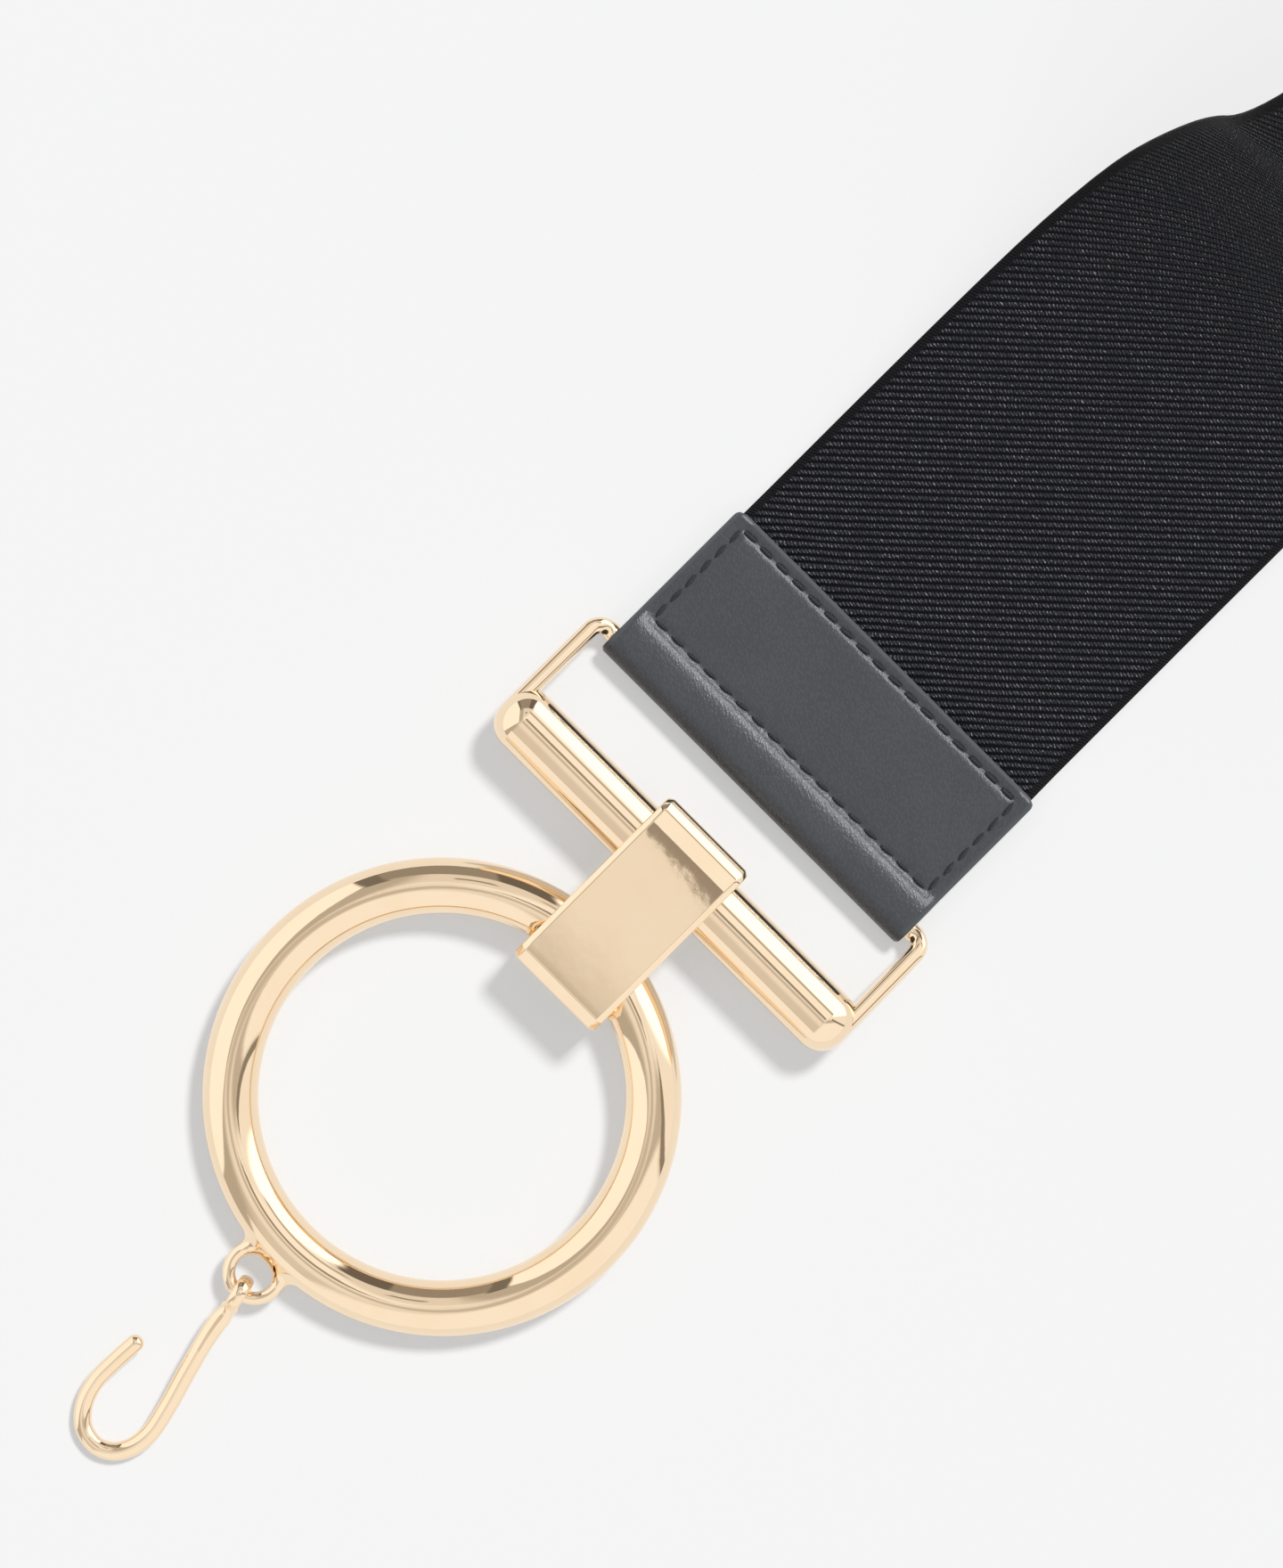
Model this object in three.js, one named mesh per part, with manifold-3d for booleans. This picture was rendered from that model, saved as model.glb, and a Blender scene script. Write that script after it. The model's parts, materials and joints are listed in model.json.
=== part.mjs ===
// A wide black stretch belt with a gold hook end, lying on a flat surface.
// Millimetres, +Z up. The origin is under the middle of the front leather tab, on the surface.
// +X runs from the front tab along the first flat stretch of the elastic, away from the hook.

import * as THREE from 'three';
import { mergeVertices } from 'three/addons/utils/BufferGeometryUtils.js';
import Module from 'manifold-3d';

const wasm = await Module();
wasm.setup();

// Driving dimensions

const GAP = 0.3;

const ELASTIC = { width: 60, thickness: 1.6, betweenTabs: 545, insideTab: 22, rampLength: 5 };

const LEATHER = { thickness: 1.2, width: 61.7, flatLength: 26.3 };

const BACK_BAR = { radius: 1.4, endRound: 0.3 };

const FRAME = {
  halfWidth: 35.2,
  armWidth: 2.6,
  armHeight: 5.2,
  barRadius: 4.9,
  barEndRound: 4.2,
  barFromBackBar: 18.3,
  backCornerRound: 2.4,
};

const KEEPER = {
  width: 16.4,
  wall: 1.6,
  ringEndWall: 2.7,
  barEndWall: 2.2,
  length: 32.7,
  barEndRound: 2.9,
  ringEndBevel: 1.8,
  slotRound: 2,
  sideBevelWidth: 1.1,
  sideBevelDrop: 0.8,
  headroom: 0.3,
};

const RING = { meanRadius: 31.2, tubeRadius: 4.15, fromBar: 47.9, aside: 0.6, turnDegrees: -1.8 };

const EYE = { fromRingCentre: 37.9, meanRadius: 3.83, wireRadius: 0.97 };

const HOOK = {
  wireRadius: 1.3,
  shaftLength: 25.2,
  bowRadius: 5.45,
  bowTurnDegrees: 191,
  returnLength: 10.4,
  headingDegrees: 192.5,
  seatDegrees: 188,
  loopOuterRadius: 2.9,
  loopInnerRadius: 1.55,
  loopWidth: 2.2,
};

const CATCH_LOOP = { halfWidth: 35.2, depth: 18.5, wireRadius: 1.3, cornerRound: 3.5, bevelShare: 0.6 };

// How the elastic leaves the surface, as distances along it from the origin.
// A crease is the line that the strap bends about, at an angle from its length.
const CREASES = [
  { along: 20, creaseDegrees: 90 },
  { along: 48, creaseDegrees: 52 },
  { along: 60, creaseDegrees: 52 },
  { along: 89, creaseDegrees: 89 },
  { along: 112, creaseDegrees: 89 },
];

const BENDS = [
  { along: 34, bendRadius: Infinity },
  { along: 42, bendRadius: 105 },
  { along: 72.5, bendRadius: 105 },
  { along: 80.5, bendRadius: 26 },
  { along: 95, bendRadius: 26 },
  { along: 103, bendRadius: 85 },
];

// Past the steep side the strap turns over its crown and comes down to lie flat again.
const CROWN = { along: 134, bendRadius: 26, farSlopeDegrees: 65 };
const FAR_FOOT_RADIUS = 34;
const STRAP_STEP = 3;
const FAR_FLAT_STEPS = 12;

// Facets round each section
const FACETS = {
  fatBar: 28,
  thinBar: 16,
  barEnd: 4,
  arc: 6,
  ring: 56,
  ringTube: 14,
  eye: 24,
  eyeWire: 10,
  hookSteps: 36,
  hookLoop: 24,
  hookTip: 12,
};

// Colours

const gold = () => new THREE.MeshStandardMaterial({ color: 0xf0d6b0, roughness: 0.08, metalness: 1 });
const blackElastic = () => new THREE.MeshStandardMaterial({ color: 0x1c1c20, roughness: 0.85, metalness: 0 });
const slateLeather = () => new THREE.MeshStandardMaterial({ color: 0x3d4044, roughness: 0.45, metalness: 0 });

// Derived places, along X and up Z

const FOLD_OUTER_RADIUS = BACK_BAR.radius + GAP + LEATHER.thickness;
const TAB_LENGTH = LEATHER.flatLength + FOLD_OUTER_RADIUS;
const BACK_BAR_X = -TAB_LENGTH / 2 + FOLD_OUTER_RADIUS;
const BACK_BAR_Z = FOLD_OUTER_RADIUS;
const ELASTIC_IN_TAB_Z = LEATHER.thickness + GAP + ELASTIC.thickness / 2;
const TAB_STACK_HEIGHT = 2 * LEATHER.thickness + 2 * GAP + ELASTIC.thickness;

const KEEPER_SLOT_HEIGHT = 2 * (FRAME.barRadius + KEEPER.headroom);
const KEEPER_HEIGHT = KEEPER_SLOT_HEIGHT + 2 * KEEPER.wall;
const BAR_X = BACK_BAR_X - FRAME.barFromBackBar;
const BAR_Z = KEEPER_HEIGHT / 2;
const RING_X = BAR_X - RING.fromBar;
const KEEPER_BAR_END_X = BAR_X + FRAME.barRadius + GAP + KEEPER.barEndWall;

// The ring lies on the surface at its far side and on the keeper's lower wall at its near side.
const RING_RISE = KEEPER.wall + GAP;
const RING_TILT = Math.asin(RING_RISE / (2 * RING.meanRadius));
const RING_Z = RING.tubeRadius + RING_RISE / 2;

const radians = THREE.MathUtils.degToRad;

// Solids

function toSolid(geometry) {
  const bare = geometry.clone();
  bare.deleteAttribute('normal');
  bare.deleteAttribute('uv');
  const merged = mergeVertices(bare, 1e-4);
  return new wasm.Manifold(new wasm.Mesh({
    numProp: 3,
    vertProperties: new Float32Array(merged.attributes.position.array),
    triVerts: new Uint32Array(merged.index.array),
  }));
}

function toGeometry(solid) {
  const mesh = solid.getMesh();
  const geometry = new THREE.BufferGeometry();
  geometry.setAttribute('position', new THREE.BufferAttribute(new Float32Array(mesh.vertProperties), 3));
  geometry.setIndex(new THREE.BufferAttribute(new Uint32Array(mesh.triVerts), 1));
  return geometry;
}

function join(geometries) {
  const solids = geometries.map(toSolid);
  return toGeometry(solids.reduce((whole, next) => whole.add(next)));
}

function piece(name, geometry, material) {
  const mesh = new THREE.Mesh(geometry, material);
  mesh.name = name;
  return mesh;
}

// A cylinder along Y with rounded ends.
function roundEndedBar(radius, halfLength, endRound, segments) {
  const profile = [new THREE.Vector2(0, -halfLength)];
  const steps = FACETS.barEnd;
  for (const side of [-1, 1]) {
    for (let i = 0; i <= steps; i += 1) {
      const turn = (side < 0 ? i : steps - i) * Math.PI / 2 / steps;
      profile.push(new THREE.Vector2(
        radius - endRound + endRound * Math.sin(turn),
        side * (halfLength - endRound + endRound * Math.cos(turn)),
      ));
    }
  }
  profile.push(new THREE.Vector2(0, halfLength));
  return new THREE.LatheGeometry(profile, segments);
}

// An outline drawn in X and Z, extruded along Y about the belt's centre line.
function extrudeAcross(shape, width, bevel = {}) {
  const { bevelWidth = 0, bevelDrop = 0 } = bevel;
  const geometry = new THREE.ExtrudeGeometry(shape, {
    depth: width - 2 * bevelWidth,
    curveSegments: FACETS.arc,
    bevelEnabled: bevelWidth > 0,
    bevelThickness: bevelWidth,
    bevelSize: bevelDrop,
    bevelOffset: -bevelDrop,
    bevelSegments: 1,
  });
  geometry.translate(0, 0, bevelWidth - width / 2);
  geometry.rotateX(Math.PI / 2);
  return geometry;
}

function roundedRectangle(path, low, high, round) {
  path.moveTo(low.x + round, low.y);
  path.lineTo(high.x - round, low.y);
  path.absarc(high.x - round, low.y + round, round, -Math.PI / 2, 0);
  path.lineTo(high.x, high.y - round);
  path.absarc(high.x - round, high.y - round, round, 0, Math.PI / 2);
  path.lineTo(low.x + round, high.y);
  path.absarc(low.x + round, high.y - round, round, Math.PI / 2, Math.PI);
  path.lineTo(low.x, low.y + round);
  path.absarc(low.x + round, low.y + round, round, Math.PI, 1.5 * Math.PI);
  return path;
}

// Leather tab: one piece folded round the back bar, with the elastic's end between its two layers.
function leatherTab() {
  const t = LEATHER.thickness;
  const farEnd = TAB_LENGTH / 2;
  const foldEnd = BACK_BAR_X + 2 * FOLD_OUTER_RADIUS;
  const rollTop = 2 * FOLD_OUTER_RADIUS;
  const innerRadius = FOLD_OUTER_RADIUS - t;
  const slope = Math.atan2(rollTop - TAB_STACK_HEIGHT, foldEnd - BACK_BAR_X);

  const side = new THREE.Shape();
  side.moveTo(farEnd, 0);
  side.lineTo(farEnd, t);
  side.lineTo(BACK_BAR_X, t);
  side.absarc(BACK_BAR_X, BACK_BAR_Z, innerRadius, -Math.PI / 2, Math.PI / 2 - slope, true);
  side.lineTo(foldEnd, TAB_STACK_HEIGHT - t);
  side.lineTo(farEnd, TAB_STACK_HEIGHT - t);
  side.lineTo(farEnd, TAB_STACK_HEIGHT);
  side.lineTo(foldEnd, TAB_STACK_HEIGHT);
  side.absarc(BACK_BAR_X, BACK_BAR_Z, FOLD_OUTER_RADIUS, Math.PI / 2 - slope, 1.5 * Math.PI, false);
  side.lineTo(farEnd, 0);
  return extrudeAcross(side, LEATHER.width);
}

// Buckle frame: fat bar, two tapering arms and the back bar, cast as one.
function buckleFrame() {
  const fatBar = roundEndedBar(FRAME.barRadius, FRAME.halfWidth, FRAME.barEndRound, FACETS.fatBar);
  fatBar.translate(BAR_X, 0, BAR_Z);
  const backBar = roundEndedBar(BACK_BAR.radius, FRAME.halfWidth - FRAME.armWidth / 2, BACK_BAR.endRound,
    FACETS.thinBar);
  backBar.translate(BACK_BAR_X, 0, BACK_BAR_Z);

  const armProfile = new THREE.Shape();
  armProfile.moveTo(BAR_X, BAR_Z - FRAME.armHeight / 2);
  armProfile.lineTo(BACK_BAR_X, BACK_BAR_Z - FRAME.backCornerRound);
  armProfile.absarc(BACK_BAR_X, BACK_BAR_Z, FRAME.backCornerRound, -Math.PI / 2, Math.PI / 2, false);
  armProfile.lineTo(BAR_X, BAR_Z + FRAME.armHeight / 2);
  armProfile.closePath();
  const arms = [-1, 1].map((side) => {
    const arm = extrudeAcross(armProfile, FRAME.armWidth);
    arm.translate(0, side * (FRAME.halfWidth - FRAME.armWidth / 2), 0);
    return arm;
  });
  return join([fatBar, backBar, ...arms]);
}

// Keeper: a flat band round the fat bar and the ring.
function keeper() {
  const barEnd = KEEPER_BAR_END_X;
  const ringEnd = barEnd - KEEPER.length;
  const round = KEEPER.barEndRound;
  const bevel = KEEPER.ringEndBevel;

  const outline = new THREE.Shape();
  outline.moveTo(ringEnd, bevel);
  outline.lineTo(ringEnd + bevel, 0);
  outline.lineTo(barEnd - round, 0);
  outline.absarc(barEnd - round, round, round, -Math.PI / 2, 0);
  outline.lineTo(barEnd, KEEPER_HEIGHT - round);
  outline.absarc(barEnd - round, KEEPER_HEIGHT - round, round, 0, Math.PI / 2);
  outline.lineTo(ringEnd + bevel, KEEPER_HEIGHT);
  outline.lineTo(ringEnd, KEEPER_HEIGHT - bevel);
  outline.closePath();

  const slot = roundedRectangle(
    new THREE.Shape(),
    new THREE.Vector2(ringEnd + KEEPER.ringEndWall, KEEPER.wall),
    new THREE.Vector2(barEnd - KEEPER.barEndWall, KEEPER_HEIGHT - KEEPER.wall),
    KEEPER.slotRound,
  );
  const body = toSolid(extrudeAcross(outline, KEEPER.width, {
    bevelWidth: KEEPER.sideBevelWidth,
    bevelDrop: KEEPER.sideBevelDrop,
  }));
  return toGeometry(body.subtract(toSolid(extrudeAcross(slot, 2 * KEEPER.width))));
}

// Ring with the small eye cast on its far side, in the ring's own plane about its own centre.
function ringWithEye() {
  const ring = new THREE.TorusGeometry(RING.meanRadius, RING.tubeRadius, FACETS.ringTube, FACETS.ring);
  const eye = new THREE.TorusGeometry(EYE.meanRadius, EYE.wireRadius, FACETS.eyeWire, FACETS.eye);
  eye.translate(-EYE.fromRingCentre, 0, 0);
  return join([ring, eye]);
}

// The hook's centre line in its own flat plane: a straight shaft, a round bow to the right
// and a straight return.
class HookLine extends THREE.Curve {
  constructor() {
    super();
    this.turn = radians(HOOK.bowTurnDegrees);
    this.start = HOOK.loopOuterRadius - HOOK.wireRadius / 2;
    this.shaft = HOOK.shaftLength - this.start;
    this.bow = HOOK.bowRadius * this.turn;
    this.total = this.shaft + this.bow + HOOK.returnLength;
  }

  getPoint(fraction, target = new THREE.Vector3()) {
    const along = fraction * this.total;
    if (along <= this.shaft) {
      return target.set(this.start + along, 0, 0);
    }
    const turned = Math.min((along - this.shaft) / HOOK.bowRadius, this.turn);
    const left = Math.max(along - this.shaft - this.bow, 0);
    return target.set(
      HOOK.shaftLength + HOOK.bowRadius * Math.sin(turned) + left * Math.cos(turned),
      HOOK.bowRadius * (Math.cos(turned) - 1) - left * Math.sin(turned),
      0,
    );
  }
}

function hook() {
  const line = new HookLine();
  const section = new THREE.Shape().absarc(0, 0, HOOK.wireRadius, 0, 2 * Math.PI);
  const wire = new THREE.ExtrudeGeometry(section, {
    steps: FACETS.hookSteps,
    curveSegments: FACETS.arc,
    extrudePath: line,
  });
  const tip = new THREE.SphereGeometry(HOOK.wireRadius, FACETS.hookTip, FACETS.hookTip / 2);
  tip.translate(...line.getPoint(1).toArray());

  const loopProfile = [
    new THREE.Vector2(HOOK.loopInnerRadius, -HOOK.loopWidth / 2),
    new THREE.Vector2(HOOK.loopOuterRadius, -HOOK.loopWidth / 2),
    new THREE.Vector2(HOOK.loopOuterRadius, HOOK.loopWidth / 2),
    new THREE.Vector2(HOOK.loopInnerRadius, HOOK.loopWidth / 2),
    new THREE.Vector2(HOOK.loopInnerRadius, -HOOK.loopWidth / 2),
  ];
  const loop = new THREE.LatheGeometry(loopProfile, FACETS.hookLoop);
  return join([wire, tip, loop]);
}

// Catch loop: a plain rectangular loop of round wire, drawn flat and centred on its back bar.
function catchLoop() {
  const r = CATCH_LOOP.wireRadius;
  const outline = roundedRectangle(
    new THREE.Shape(),
    new THREE.Vector2(-r, -CATCH_LOOP.halfWidth),
    new THREE.Vector2(CATCH_LOOP.depth - r, CATCH_LOOP.halfWidth),
    CATCH_LOOP.cornerRound,
  );
  outline.holes.push(roundedRectangle(
    new THREE.Path(),
    new THREE.Vector2(r, 2 * r - CATCH_LOOP.halfWidth),
    new THREE.Vector2(CATCH_LOOP.depth - 3 * r, CATCH_LOOP.halfWidth - 2 * r),
    CATCH_LOOP.cornerRound - 2 * r,
  ));
  const bevel = CATCH_LOOP.bevelShare * r;
  const geometry = new THREE.ExtrudeGeometry(outline, {
    depth: 2 * (r - bevel),
    curveSegments: FACETS.arc,
    bevelThickness: bevel,
    bevelSize: bevel,
    bevelOffset: -bevel,
    bevelSegments: 2,
  });
  geometry.translate(0, 0, bevel - r);
  return geometry;
}

// Value of a table's column at a distance along the strap, straight between its rows.
function between(rows, along, value) {
  if (along <= rows[0].along) {
    return value(rows[0]);
  }
  for (let i = 1; i < rows.length; i += 1) {
    if (along <= rows[i].along) {
      const share = (along - rows[i - 1].along) / (rows[i].along - rows[i - 1].along);
      return value(rows[i - 1]) * (1 - share) + value(rows[i]) * share;
    }
  }
  return value(rows[rows.length - 1]);
}

// The strap as a flat strip folded along a row of creases. Each station keeps the centre point,
// the strap's length, width and face directions, and how far its crease leans along the strap.
class StrapRoute {
  constructor() {
    this.along = TAB_LENGTH / 2;
    this.centre = new THREE.Vector3(this.along, 0, ELASTIC_IN_TAB_Z);
    this.forward = new THREE.Vector3(1, 0, 0);
    this.across = new THREE.Vector3(0, 1, 0);
    this.face = new THREE.Vector3(0, 0, 1);
    this.lean = 0;
    this.stations = [];
  }

  keep() {
    this.stations.push({
      along: this.along,
      centre: this.centre.clone(),
      forward: this.forward.clone(),
      across: this.across.clone(),
      face: this.face.clone(),
      lean: this.lean,
    });
  }

  // How steeply the face is turned from level, negative on the way down.
  tilt() {
    return Math.sign(this.forward.z) * Math.acos(Math.min(1, this.face.z));
  }

  // The lean of the crease that lies level.
  levelLean() {
    const level = new THREE.Vector3(0, 0, 1).cross(this.face);
    return -level.dot(this.forward) / level.dot(this.across);
  }

  crease() {
    return this.forward.clone().multiplyScalar(this.lean).sub(this.across).normalize();
  }

  // Advances along the strap while it bends by turn radians about its crease.
  advance(step, turn) {
    const axis = this.crease();
    const sides = [this.forward, this.across, this.face];
    sides.forEach((side) => side.applyAxisAngle(axis, turn / 2));
    this.centre.addScaledVector(this.forward, step);
    sides.forEach((side) => side.applyAxisAngle(axis, turn / 2));
    this.along += step;
    this.keep();
  }

  // A round bend about the level crease.
  levelArc(radius, turn) {
    const length = Math.abs(turn) * radius * Math.hypot(1, this.lean);
    const steps = Math.ceil(length / STRAP_STEP);
    for (let i = 0; i < steps; i += 1) {
      this.advance(length / steps, turn / steps);
    }
  }

  straight(length) {
    const steps = Math.ceil(length / STRAP_STEP);
    for (let i = 0; i < steps; i += 1) {
      this.advance(length / steps, 0);
    }
  }
}

function strapRoute() {
  const route = new StrapRoute();
  route.keep();

  // Down from the tab's middle layer on to the surface.
  const drop = ELASTIC_IN_TAB_Z - ELASTIC.thickness / 2;
  const rampSlant = Math.hypot(ELASTIC.rampLength, drop);
  route.centre.x += ELASTIC.rampLength;
  route.centre.z -= drop;
  route.along += rampSlant;
  route.keep();

  const lean = (row) => 1 / Math.tan(radians(row.creaseDegrees));
  const bend = (row) => 1 / row.bendRadius;
  const flatFrom = route.along;
  const reach = CROWN.along - flatFrom;
  const steps = Math.round(reach / STRAP_STEP);
  const step = reach / steps;
  const levelFrom = CREASES[CREASES.length - 1].along;
  for (let i = 0; i < steps; i += 1) {
    const along = flatFrom + (i + 0.5) * step;
    const level = Math.max(0, (along - levelFrom) / (CROWN.along - levelFrom));
    route.lean = between(CREASES, along, lean);
    if (level > 0) {
      route.lean += (route.levelLean() - route.lean) * level;
    }
    route.advance(step, step * between(BENDS, along, bend) / Math.hypot(1, route.lean));
  }

  route.lean = route.levelLean();
  const farSlope = radians(CROWN.farSlopeDegrees);
  route.levelArc(CROWN.bendRadius, -(route.tilt() + farSlope));
  const footHeight = FAR_FOOT_RADIUS * (1 - Math.cos(farSlope)) + ELASTIC.thickness / 2;
  route.straight((route.centre.z - footHeight) / -route.forward.z);
  route.levelArc(FAR_FOOT_RADIUS, farSlope);

  // Flat again, the creases turn square to the strap before the far tab.
  const flatLeft = TAB_LENGTH / 2 + ELASTIC.betweenTabs - route.along - rampSlant;
  const lastLean = route.lean;
  for (let i = 1; i <= FAR_FLAT_STEPS; i += 1) {
    route.lean = lastLean * (1 - i / FAR_FLAT_STEPS);
    route.advance(flatLeft / FAR_FLAT_STEPS, 0);
  }
  route.centre.addScaledVector(route.forward, ELASTIC.rampLength);
  route.centre.z += drop;
  route.along += rampSlant;
  route.keep();
  return route.stations;
}

const STATIONS = strapRoute();

// Elastic band: four corners at each station, joined station to station.
function elasticBand() {
  const first = STATIONS[0];
  const last = STATIONS[STATIONS.length - 1];
  const ends = [first, last].map((station, i) => ({
    ...station,
    centre: station.centre.clone().addScaledVector(station.forward, (i ? 1 : -1) * ELASTIC.insideTab),
  }));
  const stations = [ends[0], ...STATIONS, ends[1]];

  const positions = [];
  for (const { centre, forward, across, face, lean } of stations) {
    for (const [side, height] of [[-1, -1], [1, -1], [1, 1], [-1, 1]]) {
      const corner = centre.clone()
        .addScaledVector(across, side * ELASTIC.width / 2)
        .addScaledVector(forward, -side * lean * ELASTIC.width / 2)
        .addScaledVector(face, height * ELASTIC.thickness / 2);
      positions.push(corner.x, corner.y, corner.z);
    }
  }

  const faces = [[0, 2, 1], [0, 3, 2]];
  for (let i = 0; i + 1 < stations.length; i += 1) {
    for (let corner = 0; corner < 4; corner += 1) {
      const a = 4 * i + corner;
      const b = 4 * i + (corner + 1) % 4;
      faces.push([a, b, b + 4], [a, b + 4, a + 4]);
    }
  }
  const end = 4 * (stations.length - 1);
  faces.push([end, end + 1, end + 2], [end, end + 2, end + 3]);

  const geometry = new THREE.BufferGeometry();
  geometry.setAttribute('position', new THREE.Float32BufferAttribute(positions, 3));
  geometry.setIndex(faces.flat());
  return geometry;
}

// Assembly

const belt = new THREE.Group();
belt.add(piece('elastic_band', elasticBand(), blackElastic()));
belt.add(piece('front_leather_tab', leatherTab(), slateLeather()));
belt.add(piece('buckle_frame', buckleFrame(), gold()));
belt.add(piece('keeper', keeper(), gold()));

const ringGroup = new THREE.Group();
ringGroup.position.set(RING_X, RING.aside, RING_Z);
ringGroup.rotation.set(0, -RING_TILT, radians(RING.turnDegrees));
ringGroup.add(piece('ring', ringWithEye(), gold()));
belt.add(ringGroup);
ringGroup.updateMatrixWorld(true);

// The hook's loop hangs on the far side of the eye, and its bow lies on the surface.
const seat = new THREE.Vector3(-EYE.fromRingCentre, 0, 0).applyMatrix4(ringGroup.matrixWorld);
const seatTurn = radians(HOOK.seatDegrees);
seat.x += EYE.meanRadius * Math.cos(seatTurn);
seat.y += EYE.meanRadius * Math.sin(seatTurn);
seat.z -= HOOK.loopInnerRadius - EYE.wireRadius - GAP;
const hookReach = HOOK.shaftLength + HOOK.bowRadius;
const hookDip = Math.asin((seat.z - HOOK.wireRadius) / hookReach);
const hookGroup = new THREE.Group();
hookGroup.position.copy(seat);
hookGroup.rotation.set(0, hookDip, radians(HOOK.headingDegrees), 'ZYX');
hookGroup.add(piece('hook', hook(), gold()));
belt.add(hookGroup);

// The far tab is the front one turned round on the elastic's other end.
const end = STATIONS[STATIONS.length - 1];
const farTab = new THREE.Group();
farTab.position.copy(end.centre).addScaledVector(end.forward, TAB_LENGTH / 2).setZ(0);
farTab.rotation.z = Math.atan2(end.forward.y, end.forward.x) + Math.PI;
farTab.add(piece('far_leather_tab', leatherTab(), slateLeather()));
const catchPiece = piece('catch_loop', catchLoop(), gold());
catchPiece.position.set(BACK_BAR_X, 0, BACK_BAR_Z);
catchPiece.rotation.z = Math.PI;
farTab.add(catchPiece);
belt.add(farTab);

export default belt;
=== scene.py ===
"""The looks of a wide black stretch belt with a gold hook end, lying on a pale floor.

Sizes are in millimetres and are turned into metres where a mesh is made. +X runs along the elastic's
first flat stretch, away from the hook, +Y across the belt and +Z up.
"""

import json
import logging
import math
from dataclasses import dataclass, field
from enum import Enum

import bmesh
import bpy
import numpy as np
from mathutils import Matrix, Vector


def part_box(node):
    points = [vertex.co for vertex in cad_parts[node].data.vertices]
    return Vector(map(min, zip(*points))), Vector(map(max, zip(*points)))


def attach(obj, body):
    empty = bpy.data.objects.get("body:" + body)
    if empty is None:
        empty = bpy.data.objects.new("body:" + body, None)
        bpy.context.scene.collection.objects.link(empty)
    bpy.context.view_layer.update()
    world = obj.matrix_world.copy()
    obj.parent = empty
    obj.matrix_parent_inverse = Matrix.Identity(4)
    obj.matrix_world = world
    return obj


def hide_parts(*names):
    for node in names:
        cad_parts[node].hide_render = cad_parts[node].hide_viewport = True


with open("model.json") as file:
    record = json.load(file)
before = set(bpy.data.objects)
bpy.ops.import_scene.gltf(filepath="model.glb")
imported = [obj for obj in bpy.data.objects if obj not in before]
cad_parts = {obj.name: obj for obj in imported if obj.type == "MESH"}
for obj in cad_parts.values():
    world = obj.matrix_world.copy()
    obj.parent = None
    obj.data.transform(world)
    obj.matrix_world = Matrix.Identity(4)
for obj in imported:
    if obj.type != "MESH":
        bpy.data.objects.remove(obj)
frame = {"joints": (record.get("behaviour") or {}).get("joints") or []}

log = logging.getLogger("stretch belt")

MM = 0.001
PLACE = "strap_place"
EDGE = "edge_distance"
WAY = "stitch_way"
NEARLY_NONE = 1e-4
PICTURE_TURN = 45.0


class Body(str, Enum):
    """The bodies that the pieces ride on."""

    BELT = "belt"
    FRAME = "frame"
    KEEPER = "keeper"
    RING = "ring"
    HOOK = "hook"


class Slot(str, Enum):
    """The material slots of the record."""

    ELASTIC = "elastic"
    LEATHER = "leather"
    GOLD = "gold"


# Node trees


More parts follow.
